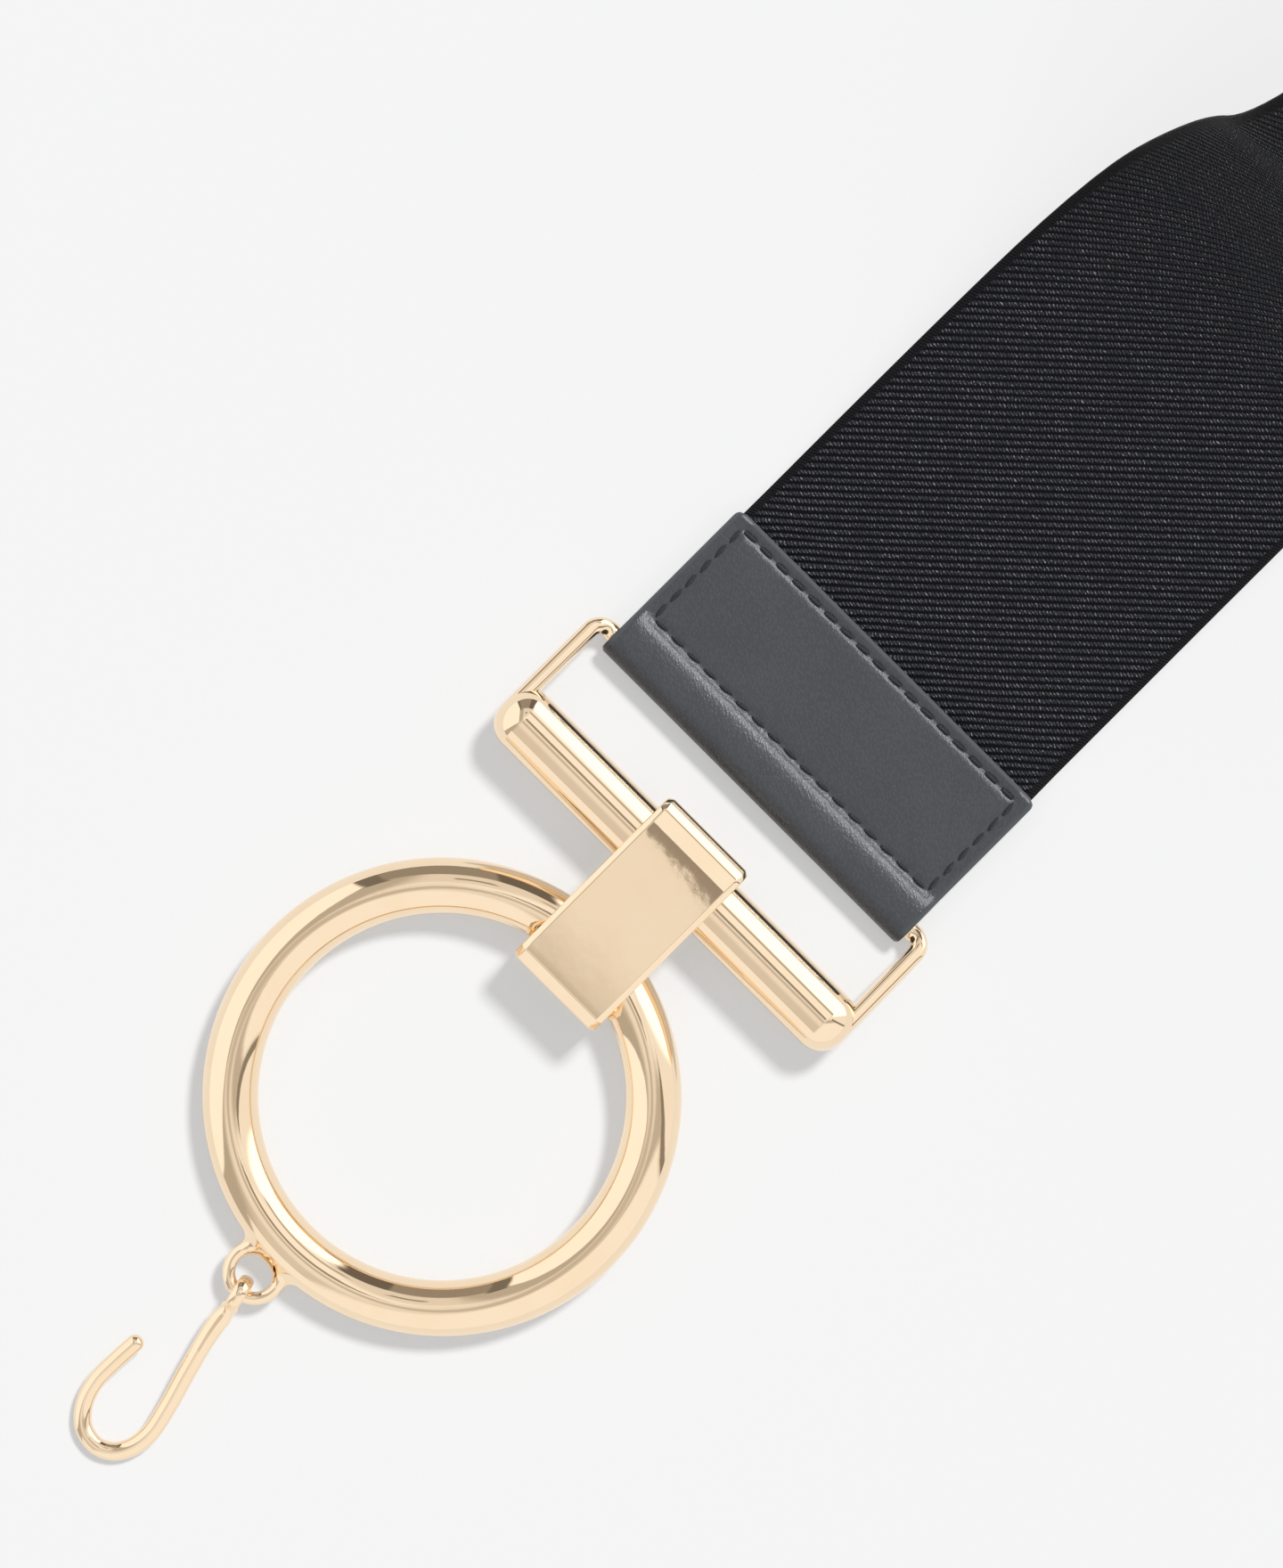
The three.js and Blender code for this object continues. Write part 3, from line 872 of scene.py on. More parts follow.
@dataclass(frozen=True)
class Torus:
    """A torus with an oval section.

    Its axes are its own X, Y and Z as rows, with Z through its hole. Its section is given by half its
    width in its plane and half its height.
    """

    centre: np.ndarray
    axes: np.ndarray
    mean_radius: float
    wide: float
    high: float

    def distance(self, points: np.ndarray) -> np.ndarray:
        """Measures how far points are from its surface.

        Args:
            points: the points.

        Returns:
            The distances, which are negative inside.
        """
        own = (points - self.centre) @ self.axes.T
        out = (np.hypot(own[:, 0], own[:, 1]) - self.mean_radius) / self.wide
        return (np.hypot(out, own[:, 2] / self.high) - 1) * min(self.wide, self.high)

    def mesh(self, around: int, section: int) -> tuple[np.ndarray, list]:
        """Makes its surface.

        Args:
            around: how many sections it has.
            section: how many points each has.

        Returns:
            The points and the faces.
        """
        turn = np.linspace(0, 2 * np.pi, around, endpoint=False)[:, None]
        bend = np.linspace(0, 2 * np.pi, section, endpoint=False)[None, :]
        out = self.mean_radius + self.wide * np.cos(bend)
        up = np.broadcast_to(self.high * np.sin(bend), (around, section))
        own = np.stack([out * np.cos(turn), out * np.sin(turn), up], axis=-1)
        return self.centre + own.reshape(-1, 3) @ self.axes, rings_to_faces(around, section, endless=True)


def joint_place(name: str) -> tuple[np.ndarray, np.ndarray]:
    """Gives a joint's place in millimetres and its axis, by its name."""
    joint = next(j for j in frame["joints"] if j["name"] == name)
    return np.array(joint["pos_m"]) / MM, unit(np.array(joint["axis"], float))


# The strap's route, as the solid model lays it


@dataclass
class Weave:
    """The elastic's woven surface."""

    half_width: float = 30.0
    spacing: float = 1.49
    lean: float = -0.9325
    rib_height: float = 0.28
    selvedge: float = 1.3
    rows_a_rib: int = 5
    columns: int = 16


@dataclass
class StrapRoute:
    """The strap as a flat strip folded along a row of creases, station by station."""

    thickness: float = 1.6
    between_tabs: float = 545.0
    inside_tab: float = 22.0
    ramp: float = 5.0
    half_tab: float = 14.6
    start_height: float = 2.3
    step: float = 3.0
    creases: tuple = ((20, 90), (48, 52), (60, 52), (89, 89), (112, 89))
    bends: tuple = ((34, math.inf), (42, 105), (72.5, 105), (80.5, 26), (95, 26), (103, 85))
    crown_along: float = 134.0
    crown_radius: float = 26.0
    far_slope: float = 65.0
    foot_radius: float = 34.0
    flat_steps: int = 12
    stations: list = field(default_factory=list)

    def __post_init__(self) -> None:
        """Lays the strap."""
        self.along = self.half_tab
        self.centre = np.array([self.along, 0, self.start_height])
        self.sides = np.eye(3)
        self.lean = 0.0
        self._lay()

    def _keep(self) -> None:
        """Keeps the present place as a station: distance, centre, length, width and face, and lean."""
        self.stations.append((self.along, self.centre.copy(), self.sides.copy(), self.lean))

    def _advance(self, step: float, turn: float) -> None:
        """Goes along the strap while it bends about its crease.

        Args:
            step: how far.
            turn: how much it bends, in radians.
        """
        crease = unit(self.sides[0] * self.lean - self.sides[1])
        half = np.array(Matrix.Rotation(turn / 2, 3, Vector(crease)), float)
        self.sides = self.sides @ half.T
        self.centre = self.centre + self.sides[0] * step
        self.sides = self.sides @ half.T
        self.along += step
        self._keep()

    def _level_lean(self) -> float:
        """Gives the lean of the crease that lies level."""
        level = np.cross([0, 0, 1], self.sides[2])
        return -float(level @ self.sides[0]) / float(level @ self.sides[1])

    def _steps(self, length: float, turn: float = 0.0) -> None:
        """Goes a length in even steps.

        Args:
            length: how far.
            turn: how much it bends in all, in radians.
        """
        count = math.ceil(length / self.step)
        for _ in range(count):
            self._advance(length / count, turn / count)

    def _level_arc(self, radius: float, turn: float) -> None:
        """Makes a round bend about the level crease, with its turn in radians."""
        self._steps(abs(turn) * radius * math.hypot(1, self.lean), turn)

    def _ramp(self, drop: float) -> float:
        """Leaves or enters a tab on a short ramp.

        Args:
            drop: how far down it goes.

        Returns:
            The ramp's length.
        """
        self.centre = self.centre + self.sides[0] * self.ramp - np.array([0, 0, drop])
        slant = math.hypot(self.ramp, drop)
        self.along += slant
        self._keep()
        return slant

    def _lay(self) -> None:
        """Lays the whole strap, from the front tab over its hump to the far tab."""
        self._keep()
        drop = self.start_height - self.thickness / 2
        slant = self._ramp(drop)
        reach = self.crown_along - self.along
        count = round(reach / self.step)
        first, level_from = self.along, self.creases[-1][0]
        lean_at, lean = zip(*((a, 1 / math.tan(math.radians(d))) for a, d in self.creases))
        bend_at, bend = zip(*((a, 1 / r) for a, r in self.bends))
        for i in range(count):
            along = first + (i + 0.5) * reach / count
            self.lean = float(np.interp(along, lean_at, lean))
            level = (along - level_from) / (self.crown_along - level_from)
            if level > 0:
                self.lean += (self._level_lean() - self.lean) * level
            turn = reach / count * float(np.interp(along, bend_at, bend)) / math.hypot(1, self.lean)
            self._advance(reach / count, turn)
        self.lean = self._level_lean()
        slope = math.radians(self.far_slope)
        tilt = math.copysign(math.acos(min(1.0, self.sides[2][2])), self.sides[0][2])
        self._level_arc(self.crown_radius, -(tilt + slope))
        foot = self.foot_radius * (1 - math.cos(slope)) + self.thickness / 2
        self._steps((self.centre[2] - foot) / -self.sides[0][2])
        self._level_arc(self.foot_radius, slope)
        left = self.half_tab + self.between_tabs - self.along - slant
        last_lean = self.lean
        for i in range(self.flat_steps):
            self.lean = last_lean * (1 - (i + 1) / self.flat_steps)
            self._advance(left / self.flat_steps, 0.0)
        self._ramp(-drop)

    def ends(self, margin: float = 0.0) -> list:
        """Gives the stations with the two ends inside the tabs added.

        Args:
            margin: how much farther than the strap the ends reach.

        Returns:
            The stations.
        """
        reach = self.inside_tab + margin
        rows = [(along + way * reach, centre + way * reach * sides[0], sides, lean)
                for (along, centre, sides, lean), way in ((self.stations[0], -1), (self.stations[-1], 1))]
        return [rows[0], *self.stations, rows[1]]

    def far_tab_place(self) -> tuple[np.ndarray, np.ndarray]:
        """Says where the far tab lies.

        Returns:
            Its origin, and its own X, Y and Z as rows.
        """
        _, centre, sides, _ = self.stations[-1]
        origin = centre + sides[0] * self.half_tab
        origin[2] = 0
        back = unit(-sides[0])
        return origin, np.stack([back, np.cross([0, 0, 1], back), [0, 0, 1]])


@dataclass
class ElasticBand:
    """The woven elastic, one closed strip with real diagonal ribs on both faces."""

    route: StrapRoute
    weave: Weave
    guide_columns: int = 12
    guide_margin: float = 0.02
    edge_roundness: float = 0.55

    def _guide(self) -> bpy.types.Object:
        """Makes the strap's middle surface, with each point's place on the flat strap.

        Returns:
            The guide object.
        """
        half = self.weave.half_width + self.guide_margin
        across = np.linspace(-half, half, self.guide_columns + 1)
        stations = self.route.ends(self.guide_margin)
        points, places = [], []
        for along, centre, sides, lean in stations:
            points.append(centre + across[:, None] * sides[1] - (across * lean)[:, None] * sides[0])
            places.append(np.stack([along - across * lean, across, np.zeros_like(across)], axis=1))
        rows, columns = len(stations), len(across)
        faces = [(i * columns + j, (i + 1) * columns + j, (i + 1) * columns + j + 1, i * columns + j + 1)
                 for i in range(rows - 1) for j in range(columns - 1)]
        mesh = new_mesh("woven_elastic", np.vstack(points), faces, **{PLACE: np.vstack(places) * MM})
        return add_object("woven_elastic", mesh)

    @staticmethod
    def _tree() -> bpy.types.NodeTree:
        """Builds the node group that weaves the strap round its middle surface.

        Returns:
            The Geometry Nodes group.
        """
        group, tree, give, result = new_group(
            "Ribbed strap", "GeometryNodeTree",
            {"Geometry": "Geometry", "Start": "Float", "End": "Float", "Half Width": "Float",
             "Selvedge": "Float", "Rib Spacing": "Float", "Rib Lean": "Float", "Rib Height": "Float",
             "Thickness": "Float", "Edge Roundness": "Float", "Rows": "Int", "Columns": "Int",
             "First Row": "Float", "Row Step": "Float", "Material": "Material"},
            ("Geometry", "Geometry"))

        weld, phase_nudge, fade_reach = 1e-6, 1e-3, 1e-4
        woven_columns, flat_selvedge, selvedge_height = 0.75, 0.49, 0.7

        # A flat lattice whose rows run along the ribs, cut off square at the strap's two ends.
        grid = tree.geometry("MeshGrid", 1.0, 2.0, give["Rows"], give["Columns"])
        index = tree.geometry("InputIndex")
        row = tree.math("FLOOR", tree.math("DIVIDE", tree.total(index, 0.5), give["Columns"]))
        y = tree.parts(tree.geometry("InputPosition"))[1]
        out = tree.math("ABSOLUTE", y)
        woven = tree.minus(give["Half Width"], give["Selvedge"])
        across = tree.total(tree.spread(out, 0.0, woven_columns, 0.0, woven),
                            tree.spread(out, woven_columns, 1.0, 0.0, give["Selvedge"]))
        across = tree.times(across, tree.math("SIGN", y))
        along = tree.times(across, give["Rib Lean"], tree.times(row, give["Row Step"], give["First Row"]))
        along = tree.math("MINIMUM", tree.math("MAXIMUM", along, give["Start"]), give["End"])
        flat = tree.geometry("SetPosition", grid, None, tree.joined(along, across, 0.0))
        clean = tree.geometry("MergeByDistance", flat, None, weld)
        named = tree.node("GeometryNodeStoreNamedAttribute", clean, data_type="FLOAT_VECTOR", domain="POINT")
        named.inputs["Name"].default_value = PLACE
        tree.feed(named.inputs["Value"], tree.geometry("InputPosition"))

        # The lattice and its copy one unit above it become the two faces.
        upwards = (0.0, 0.0, 1.0)
        raised = tree.node("GeometryNodeExtrudeMesh", named.outputs[0], None, upwards, 1.0, mode="FACES")
        raised.inputs["Individual"].default_value = False
        both = tree.node("GeometryNodeJoinGeometry")
        tree.feed(both.inputs[0], raised.outputs[0])
        tree.feed(both.inputs[0], tree.geometry("FlipFaces", named.outputs[0]))
        shell = tree.geometry("MergeByDistance", both.outputs[0], None, weld)

        # Each point goes to its place on the middle surface, and out by half the thickness.
        place = tree.geometry("InputNamedAttribute", PLACE, data_type="FLOAT_VECTOR")
        samples = []
        for value in ("InputPosition", "InputNormal"):
            sample = tree.node("GeometryNodeSampleUVSurface", give["Geometry"], data_type="FLOAT_VECTOR")
            tree.feed(sample.inputs["Value"], tree.geometry(value))
            tree.feed(sample.inputs["Source UV Map"], place)
            tree.feed(sample.inputs["Sample UV"], place)
            samples.append(sample.outputs[0])
        u, v, _ = tree.parts(place)
        height = tree.parts(tree.geometry("InputPosition"))[2]
        side = tree.times(tree.math("GREATER_THAN", height, 0.5), 2.0, -1.0)
        off = tree.minus(tree.minus(u, tree.times(v, give["Rib Lean"])), give["First Row"])
        phase = tree.math("FRACT", tree.total(tree.math("DIVIDE", off, give["Rib Spacing"]), phase_nudge))
        doubled = tree.times(phase, 2.0, -1.0)
        crown = tree.minus(1.0, tree.times(doubled, doubled))
        far_out = tree.math("ABSOLUTE", v)
        fade = tree.spread(far_out, tree.minus(woven, fade_reach), tree.total(woven, fade_reach), 1.0, 0.0)
        round_off = tree.spread(far_out, tree.times(give["Selvedge"], flat_selvedge, woven),
                                tree.minus(give["Half Width"], fade_reach / 10), 0.0, 1.0)
        core = tree.minus(tree.times(give["Thickness"], 0.5), give["Rib Height"])
        rib = tree.times(tree.times(crown, fade), give["Rib Height"])
        selvedge = tree.times(tree.times(tree.minus(1.0, fade), give["Rib Height"]), selvedge_height)
        narrowed = tree.minus(1.0, tree.times(round_off, give["Edge Roundness"]))
        proud = tree.times(tree.times(tree.total(core, rib, selvedge), narrowed), side)
        lifted = tree.vector("ADD", samples[0], tree.scaled(samples[1], proud))
        smooth = tree.geometry("SetShadeSmooth", tree.geometry("SetPosition", shell, None, lifted))
        single = tree.geometry("RealizeInstances", smooth)
        tree.feed(result, tree.geometry("SetMaterial", single, None, give["Material"]))
        return group

    def build(self, material: bpy.types.Material) -> bpy.types.Object:
        """Makes the woven strip.

        Args:
            material: its finish.

        Returns:
            The object.
        """
        weave = self.weave
        ends = self.route.ends()
        start, end = ends[0][0], ends[-1][0]
        overhang = abs(weave.lean) * weave.half_width
        first = weave.spacing * math.floor((start - overhang) / weave.spacing)
        step = weave.spacing / weave.rows_a_rib
        rows = math.ceil((end + overhang - first) / step) + 1
        strip = self._guide()
        add_geometry_nodes(strip, self._tree(), {
            "Start": start * MM, "End": end * MM, "Half Width": weave.half_width * MM,
            "Selvedge": weave.selvedge * MM, "Rib Spacing": weave.spacing * MM, "Rib Lean": weave.lean,
            "Rib Height": weave.rib_height * MM, "Thickness": self.route.thickness * MM,
            "Edge Roundness": self.edge_roundness, "Rows": rows, "Columns": weave.columns + 1,
            "First Row": first * MM, "Row Step": step * MM, "Material": material})
        settle(strip)
        strip.visible_glossy = False
        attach(strip, Body.BELT.value)
        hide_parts("elastic_band")
        return strip


def add_geometry_nodes(obj: bpy.types.Object, group: bpy.types.NodeTree, values: dict) -> None:
    """Gives an object a Geometry Nodes modifier.

    Args:
        obj: the object.
        group: the node group.
        values: each named input's value.
    """
    modifier = obj.modifiers.new(group.name, "NODES")
    modifier.node_group = group
    for item in group.interface.items_tree:
        if item.item_type == "SOCKET" and item.in_out == "INPUT" and item.name in values:
            modifier[item.identifier] = values[item.name]


# Leather tabs


@dataclass
class LeatherTab:
    """One piece of leather folded round a bar and stitched through the elastic's end."""

    name: str
    node: str
    origin: np.ndarray
    axes: np.ndarray
    thickness: float = 1.2
    half_width: float = 30.85
    half_length: float = 14.6
    fold_radius: float = 2.9
    stack_height: float = 4.6
    fold_end: float = -5.9
    fold_curve: tuple[float, float] = (0.3, 0.7)
    seam_near: float = -5.9
    seam_far: float = 12.6
    seam_half_width: float = 28.45
    stitch_pitch: float = 3.3
    stitch_length: float = 2.5
    thread_width: float = 0.62
    thread_height: float = 0.46
    groove_depth: float = 0.34
    groove_width: float = 0.5
    valley_depth: float = 0.22
    valley_width: float = 1.5
    pucker: float = 0.25
    swell: float = 0.14
    swell_fade: float = 1.6
    thread_sunk: float = 0.42
    slant: float = 0.09
    unevenness: float = 0.06
    edge_round: float = 0.4
    end_bevel: tuple[float, float, float] = (0.8, 0.3, 1.6)
    side_bevel: tuple[float, float, float] = (1.2, 0.25, 1.5)
    corner_round: float = 1.3
    grid: float = 0.5
    roll_points: int = 22
    sharp_degrees: float = 50.0
    seed: int = 4

    @property
    def bar_x(self) -> float:
        """The middle of the roll along the tab."""
        return self.fold_radius - self.half_length

    def _profile(self) -> tuple[np.ndarray, np.ndarray]:
        """Draws the outside of the folded leather from its upper end to its lower end.

        Returns:
            The points, X and Z, and the outward direction at each.
        """
        count = round((self.half_length - self.bar_x) / self.grid)
        x = np.linspace(self.half_length, self.bar_x, count + 1)
        share = np.clip((x - self.bar_x) / (self.fold_end - self.bar_x), 0, 1)
        drop = 2 * self.fold_radius - self.stack_height
        early, late = self.fold_curve
        z = 2 * self.fold_radius - drop * (early * share ** 2 + late * share ** 4)
        top = np.stack([x, z], axis=1)
        roll = arc((self.bar_x, self.fold_radius), self.fold_radius, 90, 270, self.roll_points)[1:-1]
        under = np.stack([x[::-1], np.zeros_like(x)], axis=1)
        line = np.vstack([top, roll, under])
        way = unit(np.gradient(line, axis=0))
        return line, np.stack([way[:, 1], -way[:, 0]], axis=1)

    def _seam_distance(self, x: np.ndarray, y: np.ndarray) -> tuple[np.ndarray, np.ndarray]:
        """Measures how far points are from the stitched rectangle.

        Args:
            x: how far along the tab they are.
            y: how far across.

        Returns:
            The distance, and how much the stitch there presses, from 0 to 1.
        """
        out_x = np.maximum(self.seam_near - x, x - self.seam_far)
        out_y = np.abs(y) - self.seam_half_width
        outside = np.hypot(np.maximum(out_x, 0), np.maximum(out_y, 0))
        distance = np.where((out_x > 0) | (out_y > 0), outside, np.minimum(-out_x, -out_y))
        runs_across = np.abs(out_x) < np.abs(out_y)
        long_side, short_side = 2 * self.seam_half_width, self.seam_far - self.seam_near
        turns = np.where(runs_across, (y + self.seam_half_width) / (long_side / self._count(long_side)),
                         (x - self.seam_near) / (short_side / self._count(short_side)))
        return distance, 0.5 - 0.5 * np.cos(2 * np.pi * turns)

    def _count(self, length: float) -> int:
        """Gives how many stitches a side has."""
        return round(length / self.stitch_pitch)

    def _inward(self, x: np.ndarray, y: np.ndarray, top: np.ndarray) -> tuple[np.ndarray, np.ndarray]:
        """Gives how far the leather's outside is pressed in.

        Args:
            x: how far along the tab the points are.
            y: how far across.
            top: whether each is on the upper side.

        Returns:
            The depth, and the distance from the leather's edge.
        """
        distance, press = self._seam_distance(x, y)
        depth = self.groove_depth * (1 - self.pucker + self.pucker * press)
        groove = depth * np.exp(-(distance / self.groove_width) ** 2)
        inside = (x > self.seam_near) & (x < self.seam_far) & (np.abs(y) < self.seam_half_width)
        valley = self.valley_depth * np.exp(-(distance / self.valley_width) ** 2) * top
        groove = groove + np.where(inside, 0, valley)
        panel = (1 - np.exp(-distance / self.swell_fade)) * self.swell * inside * top
        to_end = self.half_length - x
        to_side = self.half_width - np.abs(y)
        edge = np.minimum(to_end, to_side)
        near = np.clip(self.edge_round - edge, 0, self.edge_round)
        rounded = self.edge_round - np.sqrt(self.edge_round ** 2 - near ** 2)
        bevels = [drop * np.clip(1 - away / width, 0, 1) ** power * top
                  for away, (width, drop, power) in ((to_end, self.end_bevel), (to_side, self.side_bevel))]
        return groove - panel + rounded + np.maximum(*bevels), edge

    def _leather(self, material: bpy.types.Material) -> bpy.types.Object:
        """Makes the folded leather as one closed wall.

        Args:
            material: its finish.

        Returns:
            The object.
        """
        line, out = self._profile()
        rows, columns = len(line), 2 * round(self.half_width / self.grid) + 1
        y = np.linspace(-self.half_width, self.half_width, columns)[None, :]
        x = np.repeat(line[:, :1], columns, axis=1)
        z = np.repeat(line[:, 1:], columns, axis=1)
        y = np.repeat(y, rows, axis=0)
        top = (np.arange(rows) < rows // 2)[:, None]
        depth, edge = self._inward(x, y, top)
        on_roll = x < self.bar_x
        depth = np.where(on_roll, np.minimum(depth, self.edge_round), depth)
        near_end = np.clip(self.corner_round - (self.half_length - x), 0, self.corner_round)
        pulled = self.corner_round - np.sqrt(self.corner_round ** 2 - near_end ** 2)
        y_in = y * (1 - pulled / self.half_width)
        outer = np.stack([x - out[:, :1] * depth, y_in, z - out[:, 1:] * depth], axis=-1)
        inner = np.stack([x - out[:, :1] * self.thickness, y_in, z - out[:, 1:] * self.thickness], axis=-1)
        points = np.concatenate([outer.reshape(-1, 3), inner.reshape(-1, 3)])
        size = rows * columns
        faces = []
        for i in range(rows - 1):
            for j in range(columns - 1):
                a = i * columns + j
                b, c, d = a + 1, a + columns + 1, a + columns
                faces += [(a, b, c, d), (size + d, size + c, size + b, size + a)]
        rim = ([i * columns for i in range(rows)]
               + [(rows - 1) * columns + j for j in range(1, columns)]
               + [i * columns + columns - 1 for i in range(rows - 2, -1, -1)]
               + [j for j in range(columns - 2, 0, -1)])
        for a, b in zip(rim, rim[1:] + rim[:1]):
            faces.append((a, b, size + b, size + a))
        placed = self.origin + points @ self.axes
        leather = make_object(f"{self.name}_leather", placed, faces, self.sharp_degrees)
        attribute = leather.data.attributes.new(EDGE, "FLOAT", "POINT")
        attribute.data.foreach_set("value", np.concatenate([edge.ravel(), np.zeros(size)]).astype(np.float32))
        leather.data.materials.append(material)
        return leather

    def _stitch_points(self) -> tuple[np.ndarray, np.ndarray]:
        """Places every stitch on both sides of the tab.

        Returns:
            The middle of each stitch and the direction that it runs in.
        """
        near, far, wide = self.seam_near, self.seam_far, self.seam_half_width
        corners = [(near, -wide), (far, -wide), (far, wide), (near, wide)]
        places, ways = [], []
        sink = self.groove_depth - self.thread_height * self.thread_sunk
        for (x0, y0), (x1, y1) in zip(corners, corners[1:] + corners[:1]):
            length = math.hypot(x1 - x0, y1 - y0)
            count = self._count(length)
            for i in range(count):
                share = (i + 0.5) / count
                for z in (self.stack_height - sink, sink):
                    places.append((x0 + (x1 - x0) * share, y0 + (y1 - y0) * share, z))
                    ways.append(((x1 - x0) / length, (y1 - y0) / length, 0))
        return np.array(places), np.array(ways)

    @staticmethod
    def stitch_tree() -> bpy.types.NodeTree:
        """Builds the node group that sews a stitch at each point.

        Returns:
            The Geometry Nodes group.
        """
        group, tree, give, result = new_group(
            "Row of stitches", "GeometryNodeTree",
            {"Geometry": "Geometry", "Stitch Length": "Float", "Thread Width": "Float",
             "Thread Height": "Float", "Slant": "Float", "Unevenness": "Float", "Seed": "Int",
             "Material": "Material"},
            ("Geometry", "Geometry"))
        ball = tree.geometry("MeshUVSphere", 8, 8, 0.5)
        lying = tree.node("GeometryNodeTransform", ball)
        lying.inputs["Rotation"].default_value = (0.0, math.pi / 2, 0.0)
        sized = tree.node("GeometryNodeTransform", lying.outputs[0])
        tree.feed(sized.inputs["Scale"],
                  tree.joined(give["Stitch Length"], give["Thread Width"], give["Thread Height"]))
        wobble = tree.node("FunctionNodeRandomValue", data_type="FLOAT")
        wobble.inputs[2].default_value = -1.0
        wobble.inputs[3].default_value = 1.0
        tree.feed(wobble.inputs["Seed"], give["Seed"])
        aside = tree.times(wobble.outputs[1], give["Unevenness"], give["Slant"])
        x, y, _ = tree.parts(tree.geometry("InputNamedAttribute", WAY, data_type="FLOAT_VECTOR"))
        sewn = tree.node("GeometryNodeInstanceOnPoints", give["Geometry"])
        tree.feed(sewn.inputs["Instance"], tree.geometry("SetShadeSmooth", sized.outputs[0]))
        heading = tree.total(tree.math("ARCTAN2", y, x), aside)
        tree.feed(sewn.inputs["Rotation"], tree.joined(0.0, 0.0, heading))
        real = tree.geometry("RealizeInstances", sewn.outputs[0])
        tree.feed(result, tree.geometry("SetMaterial", real, None, give["Material"]))
        return group

    def _stitches(self, thread: bpy.types.Material, tree: bpy.types.NodeTree) -> bpy.types.Object:
        """Sews the tab.

        Args:
            thread: the thread's finish.
            tree: the stitches' node group.

        Returns:
            The stitches, one object.
        """
        places, ways = self._stitch_points()
        name = f"{self.name}_stitches"
        mesh = new_mesh(name, self.origin + places @ self.axes, [], **{WAY: ways @ self.axes})
        stitches = add_object(name, mesh)
        add_geometry_nodes(stitches, tree, {
            "Stitch Length": self.stitch_length * MM, "Thread Width": self.thread_width * MM,
            "Thread Height": self.thread_height * MM, "Slant": self.slant, "Unevenness": self.unevenness,
            "Seed": self.seed, "Material": thread})
        return settle(stitches)

    def build(self, leather: bpy.types.Material, thread: bpy.types.Material,
              tree: bpy.types.NodeTree) -> list[bpy.types.Object]:
        """Makes the tab.

        Args:
            leather: the leather's finish.
            thread: the thread's finish.
            tree: the stitches' node group.

        Returns:
            The leather and its stitches.
        """
        hide = self._leather(leather)
        sewn = self._stitches(thread, tree)
        for piece in (hide, sewn):
            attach(piece, Body.BELT.value)
        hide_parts(self.node)
        return [hide, sewn]


# Metal


@dataclass
class MetalPiece:
    """What every polished piece shares."""

    gold: bpy.types.Material

    def finish_piece(self, obj: bpy.types.Object, body: Body, node: str) -> bpy.types.Object:
        """Dresses a piece, hangs it on the body that it rides on, and hides the solid that it stands for.

        Args:
            obj: the piece.
            body: the body that it rides on.
            node: the solid that it stands for.

        Returns:
            The piece.
        """
        obj.data.materials.clear()
        obj.data.materials.append(self.gold)
        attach(obj, body.value)
        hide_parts(node)
        return obj


